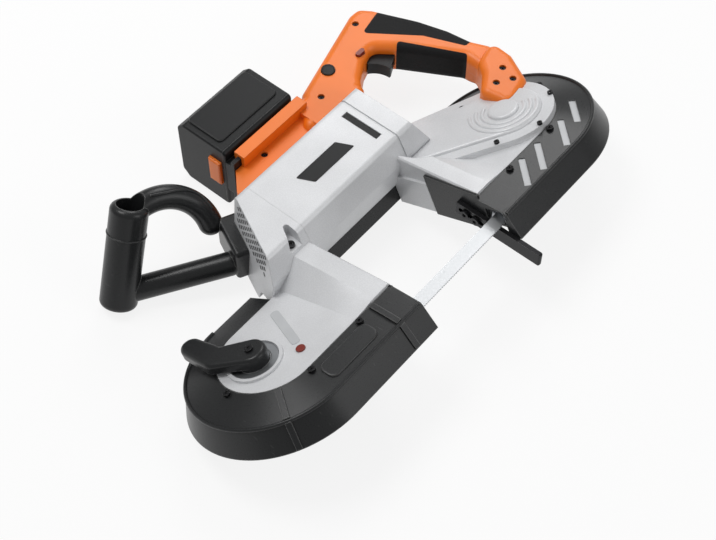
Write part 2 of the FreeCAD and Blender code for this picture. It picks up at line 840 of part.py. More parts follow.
# the nose ends in a face that is turned toward the battery side and leans out below
nose_start = Vec(-nose_long, motor_y - motor_half, motor_z + motor_top_share * motor_half)
nose_end = Vec(-nose_short, motor_y + motor_half, motor_z + motor_top_share * motor_half)
nose_along = (nose_end - nose_start).normalize()
nose_out = Vec(-nose_along.y, nose_along.x, 0)
nose_height = motor_half * 2
nose_down = (nose_out * nose_lean - along_z * nose_height).normalize()
nose_normal = nose_along.cross(nose_down).normalize()


def nose_spot(along, z):
    # a point on the nose face, by its distance along the face and its height
    fall = (nose_start.z - z) / nose_height
    return nose_start + nose_along * along + nose_out * (nose_lean * fall) - along_z * (nose_start.z - z)


def nose_wedge(shift):
    reach = nose_long
    rise = along_z * overrun - nose_out * (nose_lean * overrun / nose_height)
    start = nose_start - nose_along * reach + rise
    end = start + nose_along * (reach * 3)
    face = Part.Face(corner_wire([start, end, end + nose_out * reach, start + nose_out * reach]))
    wedge = face.extrude(nose_down * (nose_height * 2))
    wedge.translate(nose_out * -shift)
    return wedge


def vent_cuts():
    half = vent_slot / 2
    middle = (nose_end - nose_start).Length / 2
    turn = FreeCAD.Placement(origin, FreeCAD.Rotation(nose_along, nose_down, nose_normal, "XYZ"))
    cuts = []
    for row in range(vent_rows):
        for column in range(vent_columns):
            cut = box(-half, half, -half, half, -motor_wall * 2, motor_wall * 2)
            cut.rotate(origin, along_z, 45)
            cut.Placement = turn * cut.Placement
            along = middle + vent_pitch * (column - (vent_columns - 1) / 2 + row % 2 / 2)
            cut.translate(nose_spot(along, vent_mid_z + vent_pitch / 2 * ((vent_rows - 1) / 2 - row)))
            cuts.append(cut)
    return cuts


def pocket_prism(grow, z_low):
    middle_x = sum(x for x, y in pocket_spots) / len(pocket_spots)
    middle_y = sum(y for x, y in pocket_spots) / len(pocket_spots)
    points = []
    for x, y in pocket_spots:
        out = Vec(x - middle_x, y - middle_y, 0).normalize() * grow
        points.append((x + out.x, y + out.y))
    return prism(points, pocket_wall, z_low, motor_half + overrun)


def pocket_screws(grow):
    head = post(pocket_screw_r, *pocket_screw, pocket_floor_z, pocket_floor_z + screw_head)
    shaft = post(screw_r + grow, *pocket_screw, pocket_floor_z - screw_head, pocket_floor_z)
    return [tilted(join([head, shaft]))]


def nose_block():
    return motor_prism(-nose_long - nose_lean, -motor_front_x, 0).cut(nose_wedge(0))


def motor_end_cap():
    outer = nose_block()
    inner = motor_prism(-nose_long, -motor_front_x, motor_wall).cut(nose_wedge(motor_wall))
    spokes_x = -motor_front_x - motor_wall * 1.5
    spokes = join(motor_ribs(spokes_x, -motor_front_x)).common(inner)
    holder = motor_rod(motor_bearing_r + motor_ring_wall, spokes_x, motor_bearing_thick - motor_front_x)
    seat = motor_rod(motor_bearing_r, -motor_front_x, motor_bearing_thick - motor_front_x + overrun)
    boss = pocket_prism(pocket_wall * 2, pocket_floor_z - pocket_wall * 2).common(outer)
    shell = join([outer.cut(inner), spokes, holder, boss])
    return tilted(shell.cut([seat, pocket_prism(0, pocket_floor_z)] + vent_cuts()))


def stator():
    length_low, length_high = -stator_front_x, stator_rear_x
    core = motor_tube(motor_bore_r, stator_in_r, length_low, length_high)
    slots = []
    for i in range(stator_slot_count):
        half = stator_slot_width / 2
        slot = box(length_low - overrun, length_high + overrun, motor_y - half, motor_y + half,
                   motor_z, motor_z + stator_in_r + stator_slot_depth)
        slot.rotate(Vec(0, motor_y, motor_z), along_x, 360 * i / stator_slot_count)
        slots.append(slot)
    return tilted(core.cut(slots))


def rotor_core():
    return tilted(motor_tube(stator_in_r - rotor_gap, rotor_shaft_r, -stator_front_x, stator_rear_x))


def rotor_shaft():
    end_x = lay_shaft_x - bevel_gear_r * (1 - bevel_face_share)
    return tilted(motor_rod(rotor_shaft_r, -motor_front_x, end_x))


def cooling_fan():
    radius = motor_bore_r - rotor_gap * 3
    disc = motor_tube(radius, rotor_shaft_r, -fan_x, fan_blade_thick - fan_x)
    hub = motor_tube(fan_hub_r, rotor_shaft_r, -fan_x, fan_thick - fan_x)
    blades = []
    for i in range(fan_blade_count):
        half = fan_blade_thick / 2
        blade = box(-fan_x, fan_thick - fan_x, motor_y - half, motor_y + half,
                    motor_z + fan_hub_r - half, motor_z + radius - half)
        blade.rotate(Vec(0, motor_y, motor_z), along_x, 360 * i / fan_blade_count)
        blades.append(blade)
    return tilted(join([disc, hub] + blades))


def motor_bearing(x_low):
    return tilted(motor_tube(motor_bearing_r, rotor_shaft_r + fit_gap, x_low, x_low + motor_bearing_thick))


handle_points = scaled_shares(handle_shares, handle_reach, handle_rise)
foot_points = handle_points[9:16]
foot_round = 8.0
cover_z = case_top + cover_thick
handle_screw_z = handle_half - handle_screw_head * 2
foot_screw_z = foot_top - handle_screw_head * 2
foot_screw_end = foot_screw_z - foot_screw_long
base_screw_z = base_step_z - handle_screw_head * 2


def handle_solid(inset):
    # the rounded handle loop, drawn smaller by the inset all round
    face = Part.Face(rounded_wire(handle_points, handle_corner_r))
    if inset:
        face = face.makeOffset2D(-inset)
    half = handle_half - inset
    face.translate(Vec(0, 0, -half))
    return soften_ends(face.extrude(Vec(0, 0, half * 2)), handle_round - inset, [-half, half])


def base_block(inset):
    # the block under the handle, with its front half lower than the rear
    front, rear = inset - base_front_x, base_rear_x - inset
    near, far = base_inner_y + inset, base_outer_y - inset
    points = [(front, near), (rear, near), (rear, far), (base_chamfer - base_front_x, far),
              (front, base_outer_y - base_chamfer)]
    low, high = inset - base_low_z, handle_half - inset
    block = prism(points, motor_corner_r, low, high)
    if not inset:
        block = soften_ends(block, foot_round, [low, high])
    step = box(-base_front_x * 2, base_step_x + inset, 0, handle_rise, base_step_z - inset, foot_top)
    return block.cut(step)


def handle_body():
    foot = soften_ends(prism(foot_points, handle_corner_r, 0, foot_top), foot_round, [foot_top])
    return join([handle_solid(0), foot, base_block(0)])


def handle_room():
    face = Part.Face(rounded_wire(handle_points, handle_corner_r)).makeOffset2D(-handle_wall)
    half = handle_half - handle_wall
    face.translate(Vec(0, 0, -half))
    return join([face.extrude(Vec(0, 0, half * 2)), base_block(handle_wall)])


def grip_part(shape):
    # local X runs across the grip into the hand side, local Y up along it
    moved = shape.copy()
    moved.rotate(origin, along_z, grip_lean)
    moved.translate(Vec(trigger_x, trigger_y, 0))
    return moved


def trigger(grow):
    half = trigger_half + grow
    low, high = -trigger_long / 2 - grow, trigger_long / 2 + grow
    points = [(-trigger_out, low), (trigger_in + trigger_travel * (grow > 0), low),
              (trigger_in + trigger_travel * (grow > 0), high), (-trigger_out, high)]
    shape = prism(points, trigger_half / 2, -half, half)
    if grow:
        return grip_part(shape)
    hollow_x = trigger_half / 2 - trigger_out - trigger_long
    hollow = post(trigger_long, hollow_x, 0, -half - overrun, half + overrun)
    return grip_part(shape.cut(hollow))


def switch_body():
    start = trigger_in + trigger_travel + seat_gap
    return grip_part(box(start, start + switch_deep, -switch_long / 2, switch_long / 2,
                         handle_wall - handle_half, switch_half))


def lock_button(grow):
    half = lock_long / 2 + grow
    wide = lock_wide / 2 + grow
    low = handle_half - lock_deep - lock_travel * (grow > 0)
    high = handle_half + lock_proud + overrun * (grow > 0)
    points = [(-half, -wide), (half, -wide), (half, wide), (-half, wide)]
    shape = prism(points, wide, low, high)
    shape.translate(Vec(lock_x, lock_y, 0))
    return shape


def speed_dial(grow):
    high = handle_half + dial_proud + overrun * (grow > 0)
    return post(dial_r + grow, dial_x, dial_y, handle_half - dial_deep, high)


def skin_region(shares):
    return prism(scaled_shares(shares, handle_reach, handle_rise), handle_wall, -foot_top, foot_top)


def grip_skin(shares):
    return handle_solid(0).cut(handle_solid(skin_thick)).common(skin_region(shares))


rail_lip_y = base_outer_y - socket_wall
rail_deep_y = rail_lip_y - rail_head_thick - run_gap * 2


def socket_block(grow):
    half = rail_head_half + socket_wall + grow
    return box(base_chamfer - base_front_x - overrun * (grow > 0), pack_rear_x + socket_wall + grow,
               rail_deep_y - socket_wall - grow, base_outer_y + overrun * (grow > 0),
               rail_mid_z - half, rail_mid_z + half)


def pack_rail(grow):
    front = -pack_front_x - overrun * 4 * (grow > 0)
    tall = rail_head_half + grow
    head = box(front, pack_rear_x + grow, rail_lip_y - rail_head_thick - run_gap - grow,
               rail_lip_y - run_gap + grow, rail_mid_z - tall, rail_mid_z + tall)
    neck = box(front, pack_rear_x + grow, rail_lip_y - run_gap * 2, pack_inner_y + grow,
               rail_mid_z - rail_neck_half - grow, rail_mid_z + rail_neck_half + grow)
    return join([head, neck])


def battery_socket():
    return socket_block(0).cut(pack_rail(run_gap))


def handle_posts(shares, radius, z_low, z_high):
    return [post(radius, x, y, z_low, z_high) for x, y in scaled_shares(shares, handle_reach, handle_rise)]


def headed_screws(shares, head_low, foot):
    screws = []
    for x, y in scaled_shares(shares, handle_reach, handle_rise):
        head = post(handle_screw_head_r, x, y, head_low, head_low + handle_screw_head)
        screws.append(tilted(join([head, post(handle_screw_r, x, y, foot, head_low)])))
    return screws


def handle_cuts():
    # everything the shells must clear: gear case, its boss, the guard, the controls and the battery socket
    boss = post(top_bearing_r + boss_wall + run_gap, *drive_place, 0, foot_top * 2)
    under = box(motor_rear_x, handle_reach * 2, -handle_rise, guard_foot_r, -foot_top, guard_top_z + seat_gap)
    cuts = [untilted(shape) for shape in (case_hull(case_wall, 0, cover_z), cover_step(), boss, under)]
    cuts += [trigger(run_gap), lock_button(run_gap), speed_dial(run_gap)]
    return cuts + [socket_block(0), pack_rail(run_gap)]


def handle_shells():
    keep = handle_posts(handle_screw_shares + base_screw_shares, handle_post_r, -base_low_z, foot_top)
    for x in (board_x + board_post_inset, board_x + board_long - board_post_inset):
        keep.append(post(board_post_r, x, board_y, -foot_top, -board_thick / 2))
    keep = join(keep).common(handle_room())
    whole = join([handle_body().cut(handle_room()), keep]).cut(handle_cuts())
    heads = handle_posts(handle_screw_shares, handle_screw_head_r + run_gap, handle_screw_z, foot_top * 2)
    heads += handle_posts(foot_screw_shares, handle_screw_head_r + run_gap, foot_screw_z, foot_top * 2)
    heads += handle_posts(base_screw_shares, handle_screw_head_r + run_gap, base_screw_z, foot_top * 2)
    shafts = handle_posts(handle_screw_shares, handle_screw_r + fit_gap, handle_wall - handle_half, foot_top)
    shafts += handle_posts(foot_screw_shares, handle_screw_r + fit_gap, foot_screw_end, foot_top)
    shafts += handle_posts(base_screw_shares, handle_screw_r + fit_gap, handle_wall - handle_half, foot_top)
    skins = [grip_skin(skin_outer_shares), grip_skin(skin_inner_shares)]
    whole = whole.cut(heads + shafts + skins)
    reach = handle_reach * 2
    halves = []
    for low, high in ((0, reach), (-reach, 0)):
        half = whole.common(box(-reach, reach, -reach, reach, low, high))
        halves.append(tilted(max(half.Solids, key=lambda solid: solid.Volume)))
    return halves


def handle_screws():
    screws = headed_screws(handle_screw_shares, handle_screw_z, handle_wall - handle_half)
    screws += headed_screws(base_screw_shares, base_screw_z, handle_wall - handle_half)
    screws += headed_screws(foot_screw_shares, foot_screw_z, foot_screw_end)
    return Part.makeCompound(screws)


def pack_prism(inset):
    low, high = inset - pack_low_z, pack_high_z - inset
    outer = pack_outer_y - inset
    points = [(pack_inner_y, low), (outer - pack_chamfer, low), (outer, low + pack_chamfer),
              (outer, high - pack_chamfer), (outer - pack_chamfer, high), (pack_inner_y, high)]
    shape = prism(points, pack_round, inset - pack_front_x, pack_rear_x - inset)
    if not inset:
        shape = soften_ends(shape, pack_round * corner_limit_share, [-pack_front_x, pack_rear_x])
    shape.rotate(origin, Vec(1, 1, 1), 120)
    return shape


pack_lid_y = pack_inner_y + pack_wall * 1.5


def pack_button(grow):
    low_x = -pack_front_x - button_proud - overrun * (grow > 0)
    high_x = button_deep - pack_front_x + button_travel * (grow > 0)
    return box(low_x, high_x + grow, button_y - button_tall / 2 - grow, button_y + button_tall / 2 + grow,
               rail_mid_z - button_wide / 2 - grow, rail_mid_z + button_wide / 2 + grow)


def pack_ribs():
    cuts = []
    span = pack_rear_x + pack_front_x
    for i in range(rib_count):
        mid = -pack_front_x + span * (i + 1) / (rib_count + 1)
        cuts.append(box(mid - rib_width / 2, mid + rib_width / 2, pack_outer_y - rib_depth,
                        pack_outer_y + overrun, -pack_low_z, pack_high_z))
    return cuts


def battery_case():
    reach = pack_outer_y * 2
    body = pack_prism(0).common(box(-reach, reach, pack_lid_y, reach, -reach, reach))
    return tilted(body.cut([pack_prism(pack_wall), pack_button(run_gap)] + pack_ribs()))


def battery_lid():
    reach = pack_outer_y * 2
    lid = pack_prism(0).common(box(-reach, reach, 0, pack_lid_y, -reach, reach))
    return tilted(join([lid, pack_rail(0)]).cut(pack_button(run_gap)))


def battery_button():
    button = pack_button(0)
    front = [edge for edge in button.Edges if all(v.X < -pack_front_x for v in edge.Vertexes)]
    return tilted(button.makeFillet(button_proud / 2, front))


def battery_cells():
    mid_x = (pack_rear_x - pack_front_x) / 2
    mid_z = (pack_high_z - pack_low_z) / 2
    cells = []
    for y in cell_row_y:
        for i in range(cell_columns):
            x = mid_x + cell_pitch * (i - (cell_columns - 1) / 2)
            cells.append(tilted(post(cell_r, x, y, mid_z - cell_long / 2, mid_z + cell_long / 2)))
    return Part.makeCompound(cells)


def front_handle():
    line = grip_top - grip_foot
    grip = soften_ends(post(grip_r, 0, 0, 0, line.Length), motor_corner_r, [0, line.Length])
    grip = grip.cut(post(grip_hole_r, 0, 0, line.Length - grip_hole_deep, line.Length + overrun))
    grip.Placement = FreeCAD.Placement(grip_foot, FreeCAD.Rotation(along_z, line))
    bracket = box(*bracket_along, -motor_wall, bracket_thick, -bracket_z[0], bracket_z[1])
    bracket = bracket.makeFillet(bracket_round, bracket.Edges)
    turn = FreeCAD.Rotation(nose_along, nose_out, along_z, "XYZ")
    bracket.Placement = FreeCAD.Placement(Vec(nose_start.x, nose_start.y, 0), turn)
    upper = grip_top - line * bar_upper_share
    lower = grip_top - line * bar_lower_share
    arc = Part.Arc(upper, bar_upper_mid, bar_upper)
    rim = Part.Circle(upper, arc.tangent(arc.FirstParameter)[0], bar_r).toShape()
    bar = Part.Wire([arc.toShape()]).makePipe(Part.Face(Part.Wire([rim])))
    bar = bar.cut(rod(grip_hole_r, grip_foot, grip_top + line))
    away = (bar_lower - lower).normalize()
    shapes = [grip, bracket, bar, Part.makeSphere(bar_r, bar_upper), Part.makeSphere(bar_r, bar_lower),
              rod(bar_r, lower + away * grip_hole_r, bar_lower)]
    body = join(shapes).cut([nose_block()] + front_handle_screws_at(fit_gap))
    return tilted(body).cut(rest_cut())


def front_handle_screws_at(grow):
    mid_z = (bracket_z[1] - bracket_z[0]) / 2
    quarter = (bracket_along[1] - bracket_along[0]) / 4
    screws = []
    for along in (bracket_along[0] + quarter, bracket_along[1] - quarter * 2):
        spot = nose_spot(along, mid_z)
        screws.append(rod(bracket_screw_r + grow, spot + nose_out * (bracket_thick / 2),
                          spot - nose_out * bracket_screw_long))
    return screws


# Blade line between the guides, in the tool frame
cut_y = -loop_r * math.cos(math.radians(tool_tilt))
cut_z = loop_r * math.sin(math.radians(tool_tilt))
roller_rise = blade_thick / 2 + run_gap + roller_r
back_roller_y = cut_y + blade_width / 2 + run_gap + back_roller_r


def side_roller(side, level):
    start = Vec(side * guide_x, cut_y - roller_half, cut_z + level * roller_rise)
    end = start + along_y * (roller_half * 2)
    bore = rod(roller_pin_r + fit_gap, start - along_y * overrun, end + along_y * overrun)
    return tilted(rod(roller_r, start, end).cut(bore))


def back_roller(side):
    start = Vec(side * back_roller_x, back_roller_y, cut_z - roller_half)
    end = start + along_z * (roller_half * 2)
    bore = rod(roller_pin_r + fit_gap, start - along_z * overrun, end + along_z * overrun)
    return tilted(rod(back_roller_r, start, end).cut(bore))


def guide_bracket():
    half = guide_plate / 2
    plate = box(guide_start_x, guide_end_x, back_roller_y - half, back_roller_y + half,
                cut_z - guide_low, cut_z + guide_high)
    room = back_roller_r + run_gap * 2
    tall = roller_half + run_gap
    window = box(back_roller_x - room, back_roller_x + room, back_roller_y - guide_plate,
                 back_roller_y + guide_plate, cut_z - tall, cut_z + tall)
    shapes = [plate.cut(window)]
    for level in (-1, 1):
        start = Vec(guide_x, cut_y - roller_half - run_gap, cut_z + level * roller_rise)
        shapes.append(rod(roller_pin_r, start, Vec(guide_x, back_roller_y, start.z)))
    shapes.append(rod(roller_pin_r, Vec(back_roller_x, back_roller_y, cut_z - guide_low / 2),
                      Vec(back_roller_x, back_roller_y, cut_z + guide_high)))
    mount = box(guide_start_x, guide_x + guide_plate, guide_plate * 2 - loop_r, guide_plate - guard_lip_r,
                guide_plate, plate_low)
    return join([tilted(join(shapes)), mount])


shoe_x = throat_half - run_gap
shoe_mid_y = cut_y + shoe_in - shoe_screw_pitch - shoe_slot
shoe_screw_z = cut_z - (shoe_low + shoe_drop) / 2


def work_shoe():
    low, high = cut_z - shoe_low, cut_z - shoe_drop
    plate = box(shoe_x - shoe_thick, shoe_x, cut_y - shoe_out, cut_y + shoe_in, low, high)
    edges = [edge for edge in plate.Edges if all(v.Y < cut_y for v in edge.Vertexes)]
    plate = plate.makeFillet(shoe_thick * corner_limit_share, edges)
    cuts = []
    half, z = shoe_screw_r + run_gap, shoe_screw_z
    low, high = shoe_mid_y - shoe_slot / 2, shoe_mid_y + shoe_screw_pitch + shoe_slot / 2
    for y in (low, high):
        cuts.append(rod(half, Vec(shoe_x - shoe_thick * 2, y, z), Vec(shoe_x + overrun, y, z)))
    cuts.append(box(shoe_x - shoe_thick * 2, shoe_x + overrun, low, high, z - half, z + half))
    return tilted(plate.cut(cuts))


def shoe_screws_at(grow):
    screws = []
    face = shoe_x - shoe_thick - run_gap
    for y in (shoe_mid_y, shoe_mid_y + shoe_screw_pitch):
        z = shoe_screw_z
        shaft = rod(shoe_screw_r + grow, Vec(face, y, z), Vec(throat_half + screw_long, y, z))
        head = rod(shoe_screw_head_r, Vec(face - screw_head, y, z), Vec(face, y, z))
        screws.append(tilted(join([shaft, head])))
    return screws


def tension_carriage():
    half = carriage_long / 2
    block = box(-wheel_x - half, half - wheel_x, -carriage_half, carriage_half, carriage_low, carriage_high)
    room = lever_pin_r + run_gap
    near = lever_x - room - tension_travel
    slot = box(near, lever_x + room, lever_y - room, lever_y + room, 0, guard_top_z)
    bore = post(axle_r, -wheel_x, 0, 0, guard_top_z)
    return block.cut([slot, bore])


def carriage_rails():
    rails = []
    for side in (-1, 1):
        inner = side * (carriage_half + fit_gap)
        outer = side * (carriage_half + plate_wall)
        rails.append(box(-wheel_x - carriage_long / 2, carriage_long / 2 + tension_travel - wheel_x,
                         min(inner, outer), max(inner, outer), carriage_low, guard_top_z - plate_wall))
    return rails


def idler_axle():
    return post(axle_r, -wheel_x, 0, -hub_half - shaft_nut_thick, carriage_high)


lever_mid_share = 0.5
lever_bend_share = 0.17


def tension_lever():
    turn = math.radians(lever_rest_angle)
    ahead, aside = Vec(math.cos(turn), math.sin(turn), 0), Vec(math.sin(turn), -math.cos(turn), 0)
    hub = Vec(lever_x, lever_y, 0)
    tip = hub + ahead * lever_arm
    mid = hub + ahead * (lever_arm * lever_mid_share) + aside * (-lever_arm * lever_bend_share)
    low = (lever_low + lever_high) / 2 - lever_tip_r / 3
    mid_r = (lever_hub_r + lever_tip_r) / 2
    first = hull((hub.x, hub.y), lever_hub_r, (mid.x, mid.y), mid_r, low, lever_high)
    second = hull((mid.x, mid.y), mid_r, (tip.x, tip.y), lever_tip_r, low, lever_high)
    arm = soften_ends(join([first, second]), lever_round, [lever_high])
    base = post(lever_hub_r, hub.x, hub.y, lever_low, low)
    pin = post(lever_pin_r, hub.x, hub.y, carriage_low, lever_low)
    return join([arm, base, pin])


def tracking_screw(grow):
    high = guard_top_z + screw_head / 2
    return post(tracking_r + grow, tracking_x, tracking_y, high - tracking_long, high + overrun * (grow > 0))


def front_casting(motor_outer):
    casting = mirrored(arm_casting(throat_half)).cut(motor_outer)
    cuts = [post(lever_pin_r + fit_gap, lever_x, lever_y, 0, guard_top_z + overrun), tracking_screw(fit_gap)]
    rim = ring(lever_ring_r, lever_ring_r - lever_ring_wide, lever_x, lever_y, guard_top_z - screw_head,
               guard_top_z + lever_ring_rise)
    return join([casting, rim] + carriage_rails()).cut(cuts)


guard_screw_inset = 4.6
guard_screw_r = guard_lip_r + guard_screw_inset
guard_screw_spots = ((throat_half + arm_width, -guard_screw_r), (wheel_x, -guard_screw_r),
                     (wheel_x + guard_screw_r, 0))
guard_screw_z = guard_top_z - screw_head / 2


def guard_screws(grow):
    screws = []
    for x, y in guard_screw_spots:
        head_top = guard_screw_z + screw_head + overrun * (grow > 0)
        head = post(screw_head_r + grow, x, y, guard_screw_z - grow, head_top)
        shaft = post(screw_r + grow, x, y, guard_screw_z - screw_long, guard_screw_z)
        screws.append(join([head, shaft]))
    return screws


cover_screw_r = 1.2
cover_screw_head_r = 2.6
cover_screw_angles = (-150.0, -95.0, -35.0, 100.0)


def cover_screws(grow):
    screws = []
    reach = lobe_r[2] + case_wall / 2
    for angle in cover_screw_angles:
        turn = math.radians(angle)
        x, y = drive_place[0] + reach * math.cos(turn), drive_place[1] + reach * math.sin(turn)
        shaft = post(cover_screw_r + grow, x, y, cover_z - screw_long, cover_z)
        head = post(cover_screw_head_r, x, y, cover_z, cover_z + screw_head)
        screws.append(join([shaft, head]))
    return screws


def build_nodes():
    nodes = {}
    motor_outer = motor_prism(-nose_long - nose_lean, motor_rear_x, 0).cut([nose_wedge(0), rear_wedge(0)])
    motor_outer = tilted(motor_outer)
    phases = [0, 0, math.pi / spur_teeth[2]]
    phases[1] = meshing_phase(phases[2], 2, 1)
    phases[0] = meshing_phase(phases[1], 1, 0)
    nodes["band_blade"] = band_blade()
    nodes["drive_wheel"] = at_wheel(wheel(shaft_r), 1)
    nodes["drive_tyre"] = at_wheel(tyre(), 1)
    shaft_low = -hub_half - shaft_nut_thick
    nodes["drive_shaft"] = post(shaft_r, *drive_place, shaft_low, case_top + top_bearing_thick)
    nut = ring(shaft_nut_r, shaft_r, *drive_place, shaft_low, -hub_half)
    nodes["drive_wheel_nut"] = nut
    recess_r = drive_bearing_r + boss_wall + run_gap * 2
    recess = post(recess_r, *drive_place, 0, case_low + drive_bearing_thick + run_gap)
    nodes["drive_gear"] = spur_gear(spur_teeth[2], phases[2], drive_place, shaft_r).cut(recess)
    nodes["middle_gear"] = spur_gear(spur_teeth[1], phases[1], spur_places[1], idler_pin_r + fit_gap)
    nodes["lay_pinion"] = spur_gear(spur_teeth[0], phases[0], lay_place, lay_shaft_r)
    nodes["bevel_gear"] = bevel_gear()
    lay_low = spur_low - seat_gap - lay_bearing_thick
    nodes["lay_shaft"] = post(lay_shaft_r, *lay_place, lay_low, motor_axis_z - bevel_pinion_r)
    lay_top = spur_high + seat_gap
    bearings = [ring(lay_bearing_r, lay_shaft_r + fit_gap, *lay_place, lay_low, lay_low + lay_bearing_thick),
                ring(lay_bearing_r, lay_shaft_r + fit_gap, *lay_place, lay_top, lay_top + lay_bearing_thick)]
    bore = shaft_r + fit_gap
    bearings += [ring(drive_bearing_r, bore, *drive_place, case_low, case_low + drive_bearing_thick),
                 ring(top_bearing_r, bore, *drive_place, case_top, case_top + top_bearing_thick)]
    nodes["gear_bearings"] = Part.makeCompound(bearings)
    nodes["bevel_pinion"] = bevel_pinion()
    nodes["rotor_shaft"] = rotor_shaft()
    nodes["rotor_core"] = rotor_core()
    nodes["cooling_fan"] = cooling_fan()
    nodes["stator"] = stator()
    nodes["motor_bearings"] = Part.makeCompound([motor_bearing(-motor_front_x), motor_bearing(motor_web_x)])
    nodes["motor_housing"] = motor_housing()
    cap_holes = [tilted(s) for s in front_handle_screws_at(fit_gap)] + pocket_screws(fit_gap)
    nodes["motor_end_cap"] = motor_end_cap().cut([channel_block()] + cap_holes)
    nodes["gear_case"] = gear_case(motor_outer).cut(cover_screws(fit_gap))
    nodes["gear_cover"] = gear_cover().cut(cover_screws(fit_gap))
    nodes["front_casting"] = front_casting(motor_outer)
    return_guard = return_channel()
    nodes["return_guard"] = return_guard
    case_room = case_hull(case_wall + run_gap, case_low - run_gap, cover_z + overrun)
    rear = guard(shield_low_z, shield_top_z).cut(guard_slits() + [case_room])
    rear = rear.cut(guard_screws(fit_gap) + shoe_screws_at(fit_gap))
    nodes["rear_wheel_guard"] = rear
    nodes["front_wheel_guard"] = mirrored(guard(guard_top_z, guard_top_z).cut(guard_screws(fit_gap)))
    screws = guard_screws(0)
    nodes["casting_screws"] = Part.makeCompound(screws + [mirrored(s) for s in screws] + cover_screws(0)
                                                  + pocket_screws(0))
    nodes["rear_guide_bracket"] = guide_bracket()
    nodes["front_guide_bracket"] = mirrored(guide_bracket())
    for name, side in (("front", -1), ("rear", 1)):
        nodes[name + "_upper_roller"] = side_roller(side, 1)
        nodes[name + "_lower_roller"] = side_roller(side, -1)
        nodes[name + "_back_roller"] = back_roller(side)
    nodes["work_shoe"] = work_shoe()
    nodes["work_shoe_screws"] = Part.makeCompound(shoe_screws_at(0))
    nodes["idler_wheel"] = at_wheel(wheel(idler_bearing_r), -1)
    nodes["idler_tyre"] = at_wheel(tyre(), -1)
    nodes["idler_bearing"] = ring(idler_bearing_r, axle_r + fit_gap, -wheel_x, 0, -hub_half, hub_half)
    nodes["idler_axle"] = idler_axle()
    nodes["tension_carriage"] = tension_carriage()
    nodes["tension_lever"] = tension_lever()
    nodes["tracking_screw"] = tracking_screw(0)
    nodes["handle_shell_upper"], nodes["handle_shell_lower"] = handle_shells()
    nodes["handle_screws"] = handle_screws()
    nodes["grip_outer_skin"] = tilted(grip_skin(skin_outer_shares))
    nodes["grip_inner_skin"] = tilted(grip_skin(skin_inner_shares))
    nodes["trigger"] = tilted(trigger(0))
    nodes["trigger_switch"] = tilted(switch_body())
    nodes["lock_button"] = tilted(lock_button(0))
    nodes["speed_dial"] = tilted(speed_dial(0))
    board = box(board_x, board_x + board_long, board_y - board_wide / 2, board_y + board_wide / 2,
                -board_thick / 2, board_thick / 2)
    nodes["control_board"] = tilted(board)
    nodes["battery_socket"] = tilted(battery_socket())
    nodes["battery_case"] = battery_case()
    nodes["battery_lid"] = battery_lid()
    nodes["battery_button"] = battery_button()
    nodes["battery_cells"] = battery_cells()
    nodes["front_handle"] = front_handle()
    nodes["front_handle_screws"] = Part.makeCompound([tilted(s) for s in front_handle_screws_at(0)])
    return nodes


nodes = build_nodes()
whole = untilted(Part.makeCompound(list(nodes.values()))).optimalBoundingBox(False, False)
# the part's origin is under the middle of its bounding box, on the plane it rests on
shift = Vec(-whole.Center.x, -whole.Center.y, -whole.ZMin)
for name, shape in nodes.items():
    shape.rotate(origin, along_x, -tool_tilt)
    shape.translate(shift)
    shape.exportStep("parts/" + name + ".step")
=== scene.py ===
import bmesh
import bpy
import math
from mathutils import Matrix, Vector


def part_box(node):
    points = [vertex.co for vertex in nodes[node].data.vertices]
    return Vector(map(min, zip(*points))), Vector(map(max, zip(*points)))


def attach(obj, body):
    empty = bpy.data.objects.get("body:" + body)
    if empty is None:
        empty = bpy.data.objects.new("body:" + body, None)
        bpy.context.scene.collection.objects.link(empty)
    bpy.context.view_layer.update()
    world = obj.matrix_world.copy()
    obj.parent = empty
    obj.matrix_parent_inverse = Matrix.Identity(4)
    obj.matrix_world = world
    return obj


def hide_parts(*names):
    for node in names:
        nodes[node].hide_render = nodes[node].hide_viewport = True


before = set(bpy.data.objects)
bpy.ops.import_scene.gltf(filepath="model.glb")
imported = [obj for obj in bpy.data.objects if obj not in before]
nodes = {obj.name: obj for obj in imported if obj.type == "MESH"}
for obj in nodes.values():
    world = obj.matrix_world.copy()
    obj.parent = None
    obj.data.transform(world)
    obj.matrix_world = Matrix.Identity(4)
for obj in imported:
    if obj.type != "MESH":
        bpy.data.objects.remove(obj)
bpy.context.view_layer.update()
scene = bpy.context.scene
mm = 0.001

# where the saw's own frames lie in the row frame, and its main sizes (mm and degrees)
saw = {
    "shift": (0.0, -66.28, 51.5),
    "tilt": 25.0,  # the blade loop leans this far to the motor and handle
    "wheelX": 175.04,
    "loopR": 70.0,
    "throatHalf": 62.7,
    "motorTop": 37.98,
    "lipR": 51.0,  # the guards slope from this lip round the wheel
    "lipZ": 22.0,
    "creaseR": 85.0,  # out and down to this crease
    "creaseZ": 12.0,
    "leverX": -190.04,
    "leverY": 4.0,
}
bandFall = (saw["lipZ"] - saw["creaseZ"]) / (saw["creaseR"] - saw["lipR"])
bandMidR = (saw["lipR"] + saw["creaseR"]) / 2
bandMidZ = (saw["lipZ"] + saw["creaseZ"]) / 2


def spoke(degrees):
    return math.cos(math.radians(degrees)), math.sin(math.radians(degrees))


def turnLoop(x, y, z):
    across, up = spoke(saw["tilt"])
    return Vector((x, y * across + z * up, z * across - y * up))


def fromTool(x, y, z):  # motor, handle and battery lie square to the bench
    return (Vector((x, y, z)) + Vector(saw["shift"])) * mm


def fromLoop(x, y, z):  # wheels, guards and castings lean with the blade loop
    return fromTool(*turnLoop(x, y, z))


def linear(hexText):  # sRGB hex text to the linear colour that a shader takes
    values = []
    for start in (1, 3, 5):
        value = int(hexText[start:start + 2], 16) / 255
        values.append(value / 12.92 if value <= 0.04045 else ((value + 0.055) / 1.055) ** 2.4)
    return (*values, 1.0)


